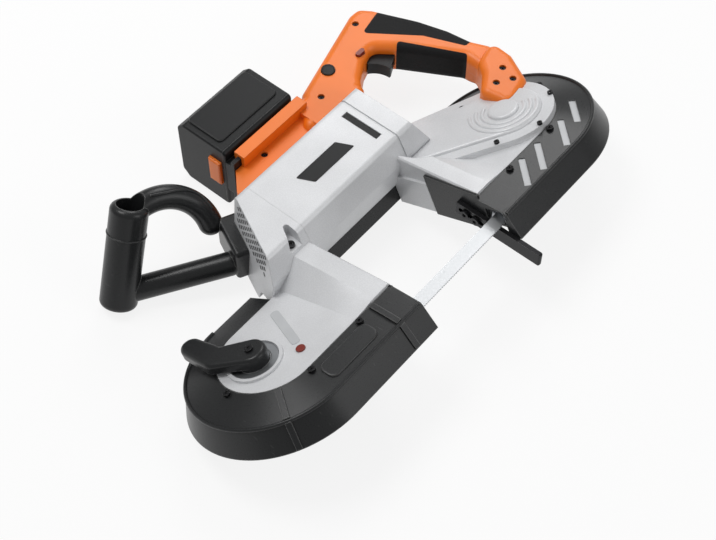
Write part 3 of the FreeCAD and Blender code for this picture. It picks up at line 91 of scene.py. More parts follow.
# adds a node to a shader or geometry tree, sets its options and fills or links its inputs;
# i6 stands for input number 6, for nodes that use one name twice
def add(tree, kind, options=None, **inputs):
    node = tree.nodes.new(kind)
    for name, value in (options or {}).items():
        setattr(node, name, value)
    for name, value in inputs.items():
        key = int(name[1:]) if name[0] == "i" and name[1:].isdigit() else name.replace("_", " ")
        if isinstance(value, bpy.types.NodeSocket):
            tree.links.new(value, node.inputs[key])
        else:
            node.inputs[key].default_value = value
    return node


# colour, roughness, metal, size of the surface grain (mm), its depth, width of the softened edge (mm),
# how far edges are painted pale, as rubbed wear and as painted highlight, and shine, the share of mirror
# light
finishes = {
    # die-cast aluminium under silver powder coat: satin, with the coat's slight orange peel and
    # a faint speckle of flake, its glints painted into the colour as lighter spots, drawn coarser than it is
    # so that it shows
    "silverPowderCoat": dict(color="#D6D7D9", rough=0.34, metal=0.10, grain=1.1, bump=0.10, edge=1.0,
                             edgeWearAndHighlight=0.10, shine=0.4, flake=1.1, ior=1.52),
    # glass-filled nylon from a spark-eroded mould: even fine stipple, soft highlights
    "orangeNylon": dict(color="#EE7614", rough=0.40, metal=0.0, grain=0.55, bump=0.12, edge=0.9,
                        edgeWearAndHighlight=0.10, ior=1.53),
    # the same nylon in black: the stipple dulls its highlights, and its edges are painted grey, as rubbed
    # wear and as painted highlight
    "blackNylon": dict(color="#18191A", rough=0.42, metal=0.0, grain=0.55, bump=0.12, edge=0.9,
                       edgeWearAndHighlight=0.16, shine=0.22, ior=1.53),
    # the wheel guards are moulded smoother, so long highlights run along them, with a few faint scuffs
    "guardNylon": dict(color="#1E1F20", rough=0.30, metal=0.0, grain=0.8, bump=0.06, edge=1.4,
                       edgeWearAndHighlight=0.24, shine=0.32, scuff=1.6, ior=1.53),
    # over-moulded soft grip: dull, with a coarse cell grain like leather
    "gripElastomer": dict(color="#161617", rough=0.62, metal=0.0, grain=1.3, bump=0.45, edge=0.7,
                          edgeWearAndHighlight=0.05, shine=0.2, cells=2.2, ior=1.5),
    # moulded tyre rubber: dark and dull, with hardly a highlight
    "wheelTyreRubber": dict(color="#2A2A2A", rough=0.72, metal=0.0, grain=0.9, bump=0.2, edge=0.4,
                            edgeWearAndHighlight=0.0, ior=1.52),
    # moulded acetal: smooth and slightly waxy
    "redAcetal": dict(color="#7E2A1E", rough=0.36, metal=0.0, grain=0.6, bump=0.05, edge=0.5,
                      edgeWearAndHighlight=0.1, ior=1.48),
    # moulded ABS: plain satin grey, for the inlay strips; in the tension channel the same grey is painted
    # shade
    "greyInlayAndShade": dict(color="#B9BBBD", rough=0.42, metal=0.0, grain=0.7, bump=0.05, edge=0.3,
                    edgeWearAndHighlight=0.0, ior=1.54),
    # rolled band steel: bright, with faint streaks of sheen along it, broader than real so that they show
    "bandSteel": dict(color="#C8CACC", rough=0.44, metal=1.0, grain=7.0, bump=0.0, edge=0.0,
                      edgeWearAndHighlight=0.0, stretch=(0.02, 1.0, 1.0)),
    # turned aluminium: pale and bright, with a fine even grain
    "turnedAluminium": dict(color="#C4C6C8", rough=0.35, metal=1.0, grain=0.5, bump=0.08, edge=0.5, edgeWearAndHighlight=0.0),
    # ground steel: the brightest metal here, with tight highlights
    "groundSteel": dict(color="#B4B6B9", rough=0.28, metal=1.0, grain=0.3, bump=0.05, edge=0.2, edgeWearAndHighlight=0.0),
    # black oxide on steel: dark, slightly oily sheen, its edges painted pale as rubbed wear and as painted
    # highlight
    "blackOxideSteel": dict(color="#262628", rough=0.34, metal=0.7, grain=0.4, bump=0.06, edge=0.3, edgeWearAndHighlight=0.3),
    # zinc plate on pressed steel: pale grey and slightly cloudy
    "zincPlatedSteel": dict(color="#B4B7BA", rough=0.34, metal=1.0, grain=0.6, bump=0.08, edge=0.3, edgeWearAndHighlight=0.0),
    # stacked motor steel: dark grey and half matt
    "laminatedSteel": dict(color="#4A4A4D", rough=0.5, metal=0.8, grain=0.35, bump=0.2, edge=0.0, edgeWearAndHighlight=0.0),
    # lacquer on the circuit board: even green satin
    "solderMask": dict(color="#1E5A36", rough=0.45, metal=0.0, grain=0.8, bump=0.04, edge=0.0,
                       edgeWearAndHighlight=0.0, ior=1.55),
    # shrink film on the cells: smooth blue with a soft shine
    "cellShrinkWrap": dict(color="#2E5DA8", rough=0.35, metal=0.0, grain=0.8, bump=0.02, edge=0.0,
                           edgeWearAndHighlight=0.0, ior=1.54),
}

# what all the finishes share
surface = {
    "ior": 1.5,
    "shine": 0.5,
    "grainDetail": 3.0,
    "grainBreak": 0.6,
    "driftDetail": 2.0,
    "edgeSamples": 4,
    "noiseRange": (0.3, 0.7),
    "driftSize": 55.0,  # mm
    "driftTone": (0.93, 1.06),
    "roughShare": (0.85, 1.18),
    "bumpDepth": 0.12,  # mm
    "flakeRange": (0.1, 0.6),
    "flakeGlintTone": (1.05, 0.95),
    "scuffTurn": (0.0, 0.0, 0.6),
    "scuffStretch": (1.0, 0.05, 0.3),
    "scuffRange": (0.68, 0.80),
    "scuffShare": 0.05,
    "edgeRange": (0.995, 0.85),
    # pale colour of scratches and rubbed edges, which also paints the edge highlight
    "wearAndHighlightColor": "#D8D8D6",
}


def makeFinish(name, look):
    material = bpy.data.materials.new(name)
    material.use_nodes = True
    tree = material.node_tree
    shader = tree.nodes["Principled BSDF"]
    shader.inputs["Metallic"].default_value = look["metal"]
    shader.inputs["IOR"].default_value = look.get("ior", surface["ior"])
    # a moulded stipple scatters part of the mirror light, so dark plastics reflect less than a polished face
    shader.inputs["Specular IOR Level"].default_value = look.get("shine", surface["shine"])
    spot = add(tree, "ShaderNodeTexCoord").outputs["Object"]
    if "stretch" in look:
        spot = add(tree, "ShaderNodeMapping", Vector=spot, Scale=look["stretch"]).outputs["Vector"]
    grain = add(tree, "ShaderNodeTexNoise", Vector=spot, Scale=1 / (look["grain"] * mm),
                Detail=surface["grainDetail"], Roughness=surface["grainBreak"]).outputs["Fac"]
    drift = add(tree, "ShaderNodeTexNoise", Vector=spot, Scale=1 / (surface["driftSize"] * mm),
                Detail=surface["driftDetail"]).outputs["Fac"]
    low, high = surface["noiseRange"]
    # slow drift of tone over the piece
    dark, pale = surface["driftTone"]
    tone = add(tree, "ShaderNodeMapRange", Value=drift, From_Min=low, From_Max=high, To_Min=dark,
               To_Max=pale).outputs["Result"]
    if "flake" in look:
        # the flake cells are lighter at their middles: the flake's speckle, with its glints painted into the
        # colour
        near, far = surface["flakeRange"]
        bright, dim = surface["flakeGlintTone"]
        flake = add(tree, "ShaderNodeTexVoronoi", Vector=spot, Scale=1 / (look["flake"] * mm))
        flakeGlint = add(tree, "ShaderNodeMapRange", Value=flake.outputs["Distance"], From_Min=near,
                      From_Max=far, To_Min=bright, To_Max=dim).outputs["Result"]
        tone = add(tree, "ShaderNodeMath", {"operation": "MULTIPLY"}, i0=tone, i1=flakeGlint).outputs["Value"]
    color = add(tree, "ShaderNodeMix", {"data_type": "RGBA", "blend_type": "MULTIPLY"}, i0=1.0,
                i6=linear(look["color"]), i7=tone).outputs[2]
    smooth, coarse = surface["roughShare"]
    rough = add(tree, "ShaderNodeMapRange", Value=grain, From_Min=low, From_Max=high,
                To_Min=look["rough"] * smooth, To_Max=min(1.0, look["rough"] * coarse)).outputs["Result"]
    tree.links.new(rough, shader.inputs["Roughness"])
    if "scuff" in look:
        # fine pale scratches from lying on benches and against work
        start, full = surface["scuffRange"]
        drawn = add(tree, "ShaderNodeMapping", Vector=spot, Rotation=surface["scuffTurn"],
                    Scale=surface["scuffStretch"]).outputs["Vector"]
        lines = add(tree, "ShaderNodeTexNoise", Vector=drawn, Scale=1 / (look["scuff"] * mm)).outputs["Fac"]
        scratch = add(tree, "ShaderNodeMapRange", Value=lines, From_Min=start, From_Max=full, To_Min=0.0,
                      To_Max=surface["scuffShare"]).outputs["Result"]
        color = add(tree, "ShaderNodeMix", {"data_type": "RGBA"}, i0=scratch, i6=color,
                    i7=linear(surface["wearAndHighlightColor"])).outputs[2]
    height = grain
    if "cells" in look:
        cells = add(tree, "ShaderNodeTexVoronoi", Vector=spot, Scale=1 / (look["cells"] * mm))
        height = cells.outputs["Distance"]
    bump = add(tree, "ShaderNodeBump", Strength=look["bump"], Distance=surface["bumpDepth"] * mm,
               Height=height)
    if look["edge"]:
        soft = add(tree, "ShaderNodeBevel", {"samples": surface["edgeSamples"]},
                   Radius=look["edge"] * mm).outputs["Normal"]
        tree.links.new(soft, bump.inputs["Normal"])
        if look["edgeWearAndHighlight"]:
            # where the softened normal leaves the face there is an edge, and it is painted paler: partly the
            # rub of hands and benches, partly a painted highlight
            start, full = surface["edgeRange"]
            face = add(tree, "ShaderNodeNewGeometry").outputs["Normal"]
            along = add(tree, "ShaderNodeVectorMath", {"operation": "DOT_PRODUCT"}, i0=soft, i1=face)
            edgeWearAndLight = add(tree, "ShaderNodeMapRange", Value=along.outputs["Value"], From_Min=start,
                         From_Max=full, To_Min=0.0, To_Max=look["edgeWearAndHighlight"]).outputs["Result"]
            color = add(tree, "ShaderNodeMix", {"data_type": "RGBA"}, i0=edgeWearAndLight, i6=color,
                        i7=linear(surface["wearAndHighlightColor"])).outputs[2]
    tree.links.new(color, shader.inputs["Base Color"])
    tree.links.new(bump.outputs["Normal"], shader.inputs["Normal"])
    return material


materials = {name: makeFinish(name, look) for name, look in finishes.items()}

# which CAD node wears which finish
wears = {
    "silverPowderCoat": ["gear_case", "gear_cover", "front_casting", "motor_housing", "motor_end_cap",
                         "tension_carriage"],
    "orangeNylon": ["handle_shell_upper", "handle_shell_lower", "battery_button", "battery_socket"],
    "guardNylon": ["rear_wheel_guard", "front_wheel_guard", "return_guard", "front_handle", "tension_lever"],
    "gripElastomer": ["grip_outer_skin", "grip_inner_skin"],
    "wheelTyreRubber": ["drive_tyre", "idler_tyre"],
    "blackNylon": ["trigger", "trigger_switch", "speed_dial", "battery_case", "battery_lid", "cooling_fan"],
    "redAcetal": ["lock_button", "tracking_screw"],
    "bandSteel": ["band_blade"],
    "turnedAluminium": ["drive_wheel", "idler_wheel"],
    "groundSteel": ["drive_shaft", "drive_gear", "middle_gear", "lay_pinion", "bevel_gear", "lay_shaft",
                    "bevel_pinion", "rotor_shaft", "idler_axle", "gear_bearings", "motor_bearings",
                    "idler_bearing"],
    "blackOxideSteel": ["drive_wheel_nut", "casting_screws", "work_shoe_screws", "handle_screws",
                        "front_handle_screws", "work_shoe"],
    "zincPlatedSteel": ["rear_guide_bracket", "front_guide_bracket", "front_upper_roller",
                        "front_lower_roller", "front_back_roller", "rear_upper_roller",
                        "rear_lower_roller", "rear_back_roller"],
    "laminatedSteel": ["stator", "rotor_core"],
    "solderMask": ["control_board"],
    "cellShrinkWrap": ["battery_cells"],
}
for name, group in wears.items():
    for node in group:
        nodes[node].data.materials.clear()
        nodes[node].data.materials.append(materials[name])
print("finishes on", sum(len(group) for group in wears.values()), "nodes")


# a new geometry tree: its points or lines come in first, then its sizes and the finish
def startTree(name, sizes):
    tree = bpy.data.node_groups.new(name, "GeometryNodeTree")
    tree.interface.new_socket("Geometry", in_out="INPUT", socket_type="NodeSocketGeometry")
    for label in sizes:
        tree.interface.new_socket(label, in_out="INPUT", socket_type="NodeSocketFloat")
    tree.interface.new_socket("Finish", in_out="INPUT", socket_type="NodeSocketMaterial")
    tree.interface.new_socket("Geometry", in_out="OUTPUT", socket_type="NodeSocketGeometry")
    return tree, add(tree, "NodeGroupInput").outputs


def endTree(tree, shape, finish):
    real = add(tree, "GeometryNodeRealizeInstances", Geometry=shape).outputs["Geometry"]
    real = add(tree, "GeometryNodeSetMaterial", Geometry=real, Material=finish).outputs["Geometry"]
    add(tree, "NodeGroupOutput", Geometry=real)


def place(name, mesh, finish):
    mesh.name = name
    piece = bpy.data.objects.new(name, mesh)
    scene.collection.objects.link(piece)
    mesh.materials.append(materials[finish])
    return piece


# runs a tree on its seed and keeps the plain mesh it gives
def grow(name, tree, seedMesh, finish, sizes):
    seed = bpy.data.objects.new(name + "Seed", seedMesh)
    scene.collection.objects.link(seed)
    modifier = seed.modifiers.new("grow", "NODES")
    modifier.node_group = tree
    for item in tree.interface.items_tree:
        if item.in_out == "INPUT" and item.name in sizes:
            modifier[item.identifier] = sizes[item.name]
        if item.name == "Finish":
            modifier[item.identifier] = materials[finish]
    mesh = bpy.data.meshes.new_from_object(seed.evaluated_get(bpy.context.evaluated_depsgraph_get()))
    bpy.data.objects.remove(seed)
    mesh.materials.clear()
    return place(name, mesh, finish)


def settle(piece, body):
    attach(piece, body)
    print(piece.name, "on", body, "with", len(piece.data.polygons), "faces")


# points for a tree, each with the directions and sizes that its instance takes
def seedPoints(name, spots, vectors, edges=()):
    mesh = bpy.data.meshes.new(name)
    mesh.from_pydata(spots, edges, [])
    for label, values in vectors.items():
        layer = mesh.attributes.new(label, "FLOAT_VECTOR", "POINT")
        layer.data.foreach_set("vector", [part for value in values for part in value])
    return mesh


# teeth along the cutting edge of the band: 10 to the inch, drawn full size
teeth = {
    "Pitch": 2.54 * mm,
    "Height": 1.0 * mm,
    "Thickness": 0.62 * mm,
    "tipR": 0.1,  # shares of a tooth's length and thickness
    "footR": 0.72,
    "halfWidth": 6.35,  # of the band
    "flatX": 82.0,  # inside this the band stands square to the work
    "twistStart": 14.0,  # its turn begins this far from the wheel's middle
    "spanSteps": 170,
    "wheelSteps": 60,
}


def bladeEdge():
    wheelX = saw["wheelX"]
    radius = saw["loopR"]
    half = teeth["halfWidth"]
    start = wheelX - teeth["twistStart"]
    fullTurn = math.radians(saw["tilt"] - 90)
    spots = []
    outward = []
    for i in range(teeth["spanSteps"]):
        x = -wheelX + 2 * wheelX * i / teeth["spanSteps"]
        share = min(1.0, max(0.0, (start - abs(x)) / (start - teeth["flatX"])))
        turn = fullTurn * share * share * (3 - 2 * share)
        spots.append(fromLoop(x, half * math.sin(turn) - radius, -half * math.cos(turn)))
        outward.append(turnLoop(0, math.sin(turn), -math.cos(turn)))
    steps = teeth["wheelSteps"]
    for side in (1, -1):  # round the drive wheel, back along the idle span, round the idler
        for i in range(steps):
            across, up = spoke(180 * i / steps - 90)
            spots.append(fromLoop(side * (wheelX + radius * across), side * radius * up, -half))
        if side == 1:
            spots += [fromLoop(wheelX - 2 * wheelX * i / steps, radius, -half) for i in range(steps)]
    outward += [turnLoop(0, 0, -1)] * (len(spots) - len(outward))
    edges = [(i, (i + 1) % len(spots)) for i in range(len(spots))]
    return seedPoints("bladeEdge", spots, {"outward": outward}, edges)


def makeTeeth():
    tree, given = startTree("bandTeeth", ["Pitch", "Height", "Thickness"])
    curve = add(tree, "GeometryNodeMeshToCurve", Mesh=given["Geometry"]).outputs["Curve"]
    curve = add(tree, "GeometryNodeResampleCurve", {"mode": "LENGTH"}, Curve=curve, Length=given["Pitch"])
    cone = add(tree, "GeometryNodeMeshCone", Vertices=4, Radius_Top=teeth["tipR"],
               Radius_Bottom=teeth["footR"], Depth=1.0)
    cone = add(tree, "GeometryNodeTransform", Geometry=cone.outputs["Mesh"], Rotation=(0.0, 0.0, math.pi / 4))
    size = add(tree, "ShaderNodeCombineXYZ", X=given["Pitch"], Y=given["Thickness"], Z=given["Height"])
    tooth = add(tree, "GeometryNodeTransform", Geometry=cone.outputs["Geometry"],
                Scale=size.outputs["Vector"])
    outward = add(tree, "GeometryNodeInputNamedAttribute", {"data_type": "FLOAT_VECTOR"}, Name="outward")
    tangent = add(tree, "GeometryNodeInputTangent")
    turn = add(tree, "FunctionNodeAxesToRotation", {"primary_axis": "Z", "secondary_axis": "X"},
               Primary_Axis=outward.outputs["Attribute"], Secondary_Axis=tangent.outputs["Tangent"])
    shape = add(tree, "GeometryNodeInstanceOnPoints", Points=curve.outputs["Curve"],
                Instance=tooth.outputs["Geometry"], Rotation=turn.outputs["Rotation"])
    endTree(tree, shape.outputs["Instances"], given["Finish"])
    piece = grow("bladeTeeth", tree, bladeEdge(), "bandSteel", teeth)
    settle(piece, "saw_frame")


# socket screws: the CAD screws give their places and sizes, the tree gives heads with a hexagon socket
screws = {
    "Socket Share": 0.52,
    "Socket Depth Share": 0.55,
    "headSides": 28,
    "keySides": 6,
    "shaftSides": 16,
    "leverZ": 37.0,
    "leverHead": (4.2, 4.2, 2.0),
    "leverShaft": (2.0, 2.0, 2.0),
}
tiny = {"merge": 1e-6, "neck": 1e-5, "shaft": 1e-4, "rimShare": 0.97}  # metres, and a share of the head


# splits a node of screws into single ones; each stands along the axis that it looks slimmest from
def screwSeeds(node, axes):
    shape = bmesh.new()
    shape.from_mesh(nodes[node].data)
    bmesh.ops.remove_doubles(shape, verts=shape.verts, dist=tiny["merge"])
    seen = set()
    spots = []
    heads = []
    shafts = []
    ups = []
    for first in shape.verts:
        if first in seen:
            continue
        group = []
        reach = [first]
        while reach:
            vert = reach.pop()
            if vert not in seen:
                seen.add(vert)
                group.append(vert)
                reach += [edge.other_vert(vert) for edge in vert.link_edges]
        screw = min((measure(group, axis) for axis in axes), key=lambda found: found["headR"])
        neck = screw["neck"]
        thin = [away for height, away in screw["rims"] if height < neck - tiny["neck"]]
        shaftR = max(thin) if thin else screw["headR"]
        spots.append(screw["middle"] + screw["axis"] * neck)
        heads.append((screw["headR"], screw["headR"], screw["top"] - neck))
        shafts.append((shaftR, shaftR, max(tiny["shaft"], neck - screw["low"])))
        ups.append(screw["axis"])
    shape.free()
    return seedPoints(node + "Spots", spots, {"head": heads, "shaft": shafts, "upward": ups})


# one screw seen along an axis: how wide its head is, where the head starts, and its two ends
def measure(group, axis):
    axis = Vector(axis).normalized()
    heights = [vert.co.dot(axis) for vert in group]
    levels = [vert.co - axis * height for vert, height in zip(group, heights)]
    lows = [min(spot[i] for spot in levels) for i in range(3)]
    highs = [max(spot[i] for spot in levels) for i in range(3)]
    middle = Vector([(low + high) / 2 for low, high in zip(lows, highs)])
    rims = [(height, (spot - middle).length) for height, spot in zip(heights, levels)]
    headR = max(away for height, away in rims)
    neck = min(height for height, away in rims if away > headR * tiny["rimShare"])
    return {"headR": headR, "neck": neck, "top": max(heights), "low": min(heights), "middle": middle,
            "axis": axis, "rims": rims}


# heads and shafts are one unit long and meet at the neck, and each screw's own sizes stretch them
def makeScrewTree():
    tree, given = startTree("socketScrews", ["Socket Share", "Socket Depth Share"])
    head = add(tree, "GeometryNodeMeshCylinder", Vertices=screws["headSides"], Radius=1.0, Depth=1.0)
    head = add(tree, "GeometryNodeTransform", Geometry=head.outputs["Mesh"], Translation=(0.0, 0.0, 0.5))
    key = add(tree, "GeometryNodeMeshCylinder", Vertices=screws["keySides"], Radius=given["Socket Share"],
              Depth=1.0)
    lift = add(tree, "ShaderNodeMath", {"operation": "SUBTRACT"}, i0=1.5, i1=given["Socket Depth Share"])
    lift = add(tree, "ShaderNodeCombineXYZ", Z=lift.outputs["Value"]).outputs["Vector"]
    key = add(tree, "GeometryNodeTransform", Geometry=key.outputs["Mesh"], Translation=lift)
    cut = add(tree, "GeometryNodeMeshBoolean", {"operation": "DIFFERENCE"})
    tree.links.new(head.outputs["Geometry"], cut.inputs["Mesh 1"])
    tree.links.new(key.outputs["Geometry"], cut.inputs["Mesh 2"])
    shaft = add(tree, "GeometryNodeMeshCylinder", Vertices=screws["shaftSides"], Radius=1.0, Depth=1.0)
    shaft = add(tree, "GeometryNodeTransform", Geometry=shaft.outputs["Mesh"], Translation=(0.0, 0.0, -0.5))
    upward = add(tree, "GeometryNodeInputNamedAttribute", {"data_type": "FLOAT_VECTOR"}, Name="upward")
    turn = add(tree, "FunctionNodeAlignRotationToVector", {"axis": "Z"}, Vector=upward.outputs["Attribute"])
    join = add(tree, "GeometryNodeJoinGeometry")
    for mesh, label in ((cut.outputs["Mesh"], "head"), (shaft.outputs["Geometry"], "shaft")):
        size = add(tree, "GeometryNodeInputNamedAttribute", {"data_type": "FLOAT_VECTOR"}, Name=label)
        made = add(tree, "GeometryNodeInstanceOnPoints", Points=given["Geometry"], Instance=mesh,
                   Rotation=turn.outputs["Rotation"], Scale=size.outputs["Attribute"])
        tree.links.new(made.outputs["Instances"], join.inputs["Geometry"])
    endTree(tree, join.outputs["Geometry"], given["Finish"])
    return tree


def makeScrews():
    tree = makeScrewTree()
    for name, node, axes in (("castingSocketScrews", "casting_screws", (turnLoop(0, 0, 1), (0, 0, 1))),
                             ("handleSocketScrews", "handle_screws", ((0, 0, 1),)),
                             ("shoeSocketScrews", "work_shoe_screws", ((-1, 0, 0),))):
        piece = grow(name, tree, screwSeeds(node, axes), "blackOxideSteel", screws)
        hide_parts(node)
        settle(piece, "saw_frame")
    hub = seedPoints("leverHub", [fromLoop(saw["leverX"], saw["leverY"], screws["leverZ"])], {
        "head": [Vector(screws["leverHead"]) * mm],
        "shaft": [Vector(screws["leverShaft"]) * mm],
        "upward": [turnLoop(0, 0, 1)],
    })
    settle(grow("leverPivotScrew", tree, hub, "blackOxideSteel", screws), "tension_lever")


# beads and ribs swept along lines: the guards' creases, the swirl on the gear cover, the front handle
beads = {
    "guardBead": 2.0,
    "guardStart": 1.5,  # from the throat
    "guardSteps": 12,
    "guardIn": 0.4,
    "guardDown": 0.2,
    "coverRib": 2.4,
    "coverSwirls": ((21.5, 105, 335), (28.0, 117, 329), (34.5, 129, 323)),  # radius, first and last angle
    "coverZ": 30.6,
    "barRib": 1.5,
    "barLine": ((-132.0, 194.2, 47.4), (-119.0, 187.9, 44.2), (-100.5, 180.9, 36.0), (-90.5, 172.3, 25.3),
                (-88.4, 160.1, 13.1)),
    "gripTop": (-150.0, 203.0, 45.0),
    "gripFoot": (-200.0, 186.0, -50.0),
    "gripR": 18.5,
    "collar": 30.0,  # from the top of the grip
    "collarBead": 0.9,
    "collarSteps": 48,
    "bendStep": 5,  # degrees
    "rimSides": 10,
}


def makeBeadTree():
    tree, given = startTree("sweptBeads", ["Radius"])
    path = add(tree, "GeometryNodeMeshToCurve", Mesh=given["Geometry"]).outputs["Curve"]
    path = add(tree, "GeometryNodeCurveSplineType", {"spline_type": "CATMULL_ROM"}, Curve=path)
    rim = add(tree, "GeometryNodeCurvePrimitiveCircle", Resolution=beads["rimSides"], Radius=given["Radius"])
    bead = add(tree, "GeometryNodeCurveToMesh", Curve=path.outputs["Curve"],
               Profile_Curve=rim.outputs["Curve"], Fill_Caps=True)
    bead = add(tree, "GeometryNodeSetShadeSmooth", Geometry=bead.outputs["Mesh"]).outputs["Geometry"]
    endTree(tree, bead, given["Finish"])
    return tree


def lineSeed(name, lines):
    spots = []
    edges = []
    for line in lines:
        edges += [(len(spots) + i, len(spots) + i + 1) for i in range(len(line) - 1)]
        spots += line
    return seedPoints(name, spots, {}, edges)


# along a guard from the throat, then round its wheel
def guardLine(side):
    radius = saw["creaseR"] - beads["guardIn"]
    z = saw["creaseZ"] - beads["guardDown"]
    start = saw["throatHalf"] + beads["guardStart"]
    steps = beads["guardSteps"]
    line = [(start + (saw["wheelX"] - start) * i / steps, -radius) for i in range(steps)]
    for angle in range(-90, 91, beads["bendStep"]):
        across, up = spoke(angle)
        line.append((saw["wheelX"] + radius * across, radius * up))
    return [fromLoop(side * x, y, z) for x, y in line]


def swirlLine(radius, first, last):
    spots = []
    for angle in range(first, last, beads["bendStep"]):
        across, up = spoke(angle)
        spots.append(fromLoop(saw["wheelX"] + radius * across, radius * up, beads["coverZ"]))
    return spots


def collarLine():
    top = Vector(beads["gripTop"])
    down = (Vector(beads["gripFoot"]) - top).normalized()
    side = down.cross(Vector((0, 0, 1))).normalized()
    front = down.cross(side)
    middle = top + down * beads["collar"]
    spots = []
    for i in range(beads["collarSteps"] + 1):
        across, up = spoke(360 * i / beads["collarSteps"])
        spots.append(fromTool(*(middle + beads["gripR"] * (side * across + front * up))))
    return spots


def makeBeads():
    tree = makeBeadTree()
    seed = lineSeed("guardLines", [guardLine(1), guardLine(-1)])
    piece = grow("guardBeads", tree, seed, "guardNylon", {"Radius": beads["guardBead"] * mm})
    settle(piece, "saw_frame")
    seed = lineSeed("swirlLines", [swirlLine(*swirl) for swirl in beads["coverSwirls"]])
    piece = grow("coverSwirl", tree, seed, "silverPowderCoat", {"Radius": beads["coverRib"] * mm})
    settle(piece, "saw_frame")
    seed = lineSeed("barLines", [[fromTool(*spot) for spot in beads["barLine"]]])
    piece = grow("handleBarRibs", tree, seed, "guardNylon", {"Radius": beads["barRib"] * mm})
    settle(piece, "saw_frame")
    seed = lineSeed("collarLine", [collarLine()])
    piece = grow("gripCollar", tree, seed, "guardNylon", {"Radius": beads["collarBead"] * mm})
    settle(piece, "saw_frame")


# raised ribs across the front guard's sloping band, and the knurl of the speed dial
ribs = {
    "angles": (-126,),  # ribs round the wheel
    "flats": (84.0,),  # ribs on the straight stretch, from the wheel's middle
    "Length": 32.0 * mm,
    "Width": 6.0 * mm,
    "Height": 4.4 * mm,
    "footDrop": (10.0, -27.0),  # out and down, how the guard's foot falls from the crease
    "footMiddle": 14.0,
    "footLength": 27.0 * mm,
    "footHeightShare": 0.8,
}
knurl = {"count": 26, "ringR": 6.0, "Length": 1.7 * mm, "Width": 0.55 * mm, "Height": 0.8 * mm}


def makeBarTree():
    tree, given = startTree("raisedBars", ["Length", "Width", "Height"])
    size = add(tree, "ShaderNodeCombineXYZ", X=given["Length"], Y=given["Width"], Z=given["Height"])
    bar = add(tree, "GeometryNodeMeshCube", Size=size.outputs["Vector"]).outputs["Mesh"]
    upward = add(tree, "GeometryNodeInputNamedAttribute", {"data_type": "FLOAT_VECTOR"}, Name="upward")
    forward = add(tree, "GeometryNodeInputNamedAttribute", {"data_type": "FLOAT_VECTOR"}, Name="forward")
    turn = add(tree, "FunctionNodeAxesToRotation", {"primary_axis": "Z", "secondary_axis": "X"},
               Primary_Axis=upward.outputs["Attribute"], Secondary_Axis=forward.outputs["Attribute"])
    made = add(tree, "GeometryNodeInstanceOnPoints", Points=given["Geometry"], Instance=bar,
               Rotation=turn.outputs["Rotation"])
    endTree(tree, made.outputs["Instances"], given["Finish"])
    return tree


# each rib crosses the sloping band and turns down over the guard's foot
def makeRibs(tree):
    band = {"spots": [], "forward": [], "upward": []}
    foot = {"spots": [], "forward": [], "upward": []}
    drop = Vector(ribs["footDrop"]).normalized()
    low = Vector((saw["creaseR"], saw["creaseZ"])) + ribs["footMiddle"] * drop
    ways = [(*spoke(angle), 0.0) for angle in ribs["angles"]]
    ways += [(0.0, -1.0, flat) for flat in ribs["flats"]]
    for across, up, flat in ways:
        x = flat - saw["wheelX"]
        band["spots"].append(fromLoop(x + bandMidR * across, bandMidR * up, bandMidZ))
        band["forward"].append(turnLoop(across, up, -bandFall))
        band["upward"].append(turnLoop(across * bandFall, up * bandFall, 1))
        foot["spots"].append(fromLoop(x + low.x * across, low.x * up, low.y))
        foot["forward"].append(turnLoop(across * drop.x, up * drop.x, drop.y))
        foot["upward"].append(turnLoop(-across * drop.y, -up * drop.y, drop.x))
    seed = seedPoints("guardRibSpots", band["spots"], {"forward": band["forward"], "upward": band["upward"]})
    settle(grow("guardRibs", tree, seed, "guardNylon", ribs), "saw_frame")
    seed = seedPoints("footRibSpots", foot["spots"], {"forward": foot["forward"], "upward": foot["upward"]})
    sizes = {"Length": ribs["footLength"], "Width": ribs["Width"],
             "Height": ribs["Height"] * ribs["footHeightShare"]}
    settle(grow("guardFootRibs", tree, seed, "guardNylon", sizes), "saw_frame")


def makeKnurl(tree):
    low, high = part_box("speed_dial")
    middle = (Vector(low) + Vector(high)) / 2
    radius = knurl["ringR"] * mm
    spots = []
    forward = []
    for i in range(knurl["count"]):
        across, up = spoke(360 * i / knurl["count"])
        forward.append((across, up, 0))
        spots.append((middle.x + radius * across, middle.y + radius * up, high[2]))
    seed = seedPoints("knurlSpots", spots, {"forward": forward, "upward": [(0, 0, 1)] * len(spots)})
    settle(grow("dialKnurl", tree, seed, "blackNylon", knurl), "speed_dial")


def makeBars():
    tree = makeBarTree()
    makeRibs(tree)
    makeKnurl(tree)


# turns the faces of a hand-made shape outward and makes it a plain mesh
def closeShape(name, shape):
    bmesh.ops.recalc_face_normals(shape, faces=shape.faces)
    mesh = bpy.data.meshes.new(name)
    shape.to_mesh(mesh)
    shape.free()
    return mesh


# plates with rounded corners and a softened upper edge, which takes these shares of thickness and corner
plateEdge = {"cornerSteps": 6, "softThick": 0.6, "softCorner": 0.5, "softStep": 0.3}


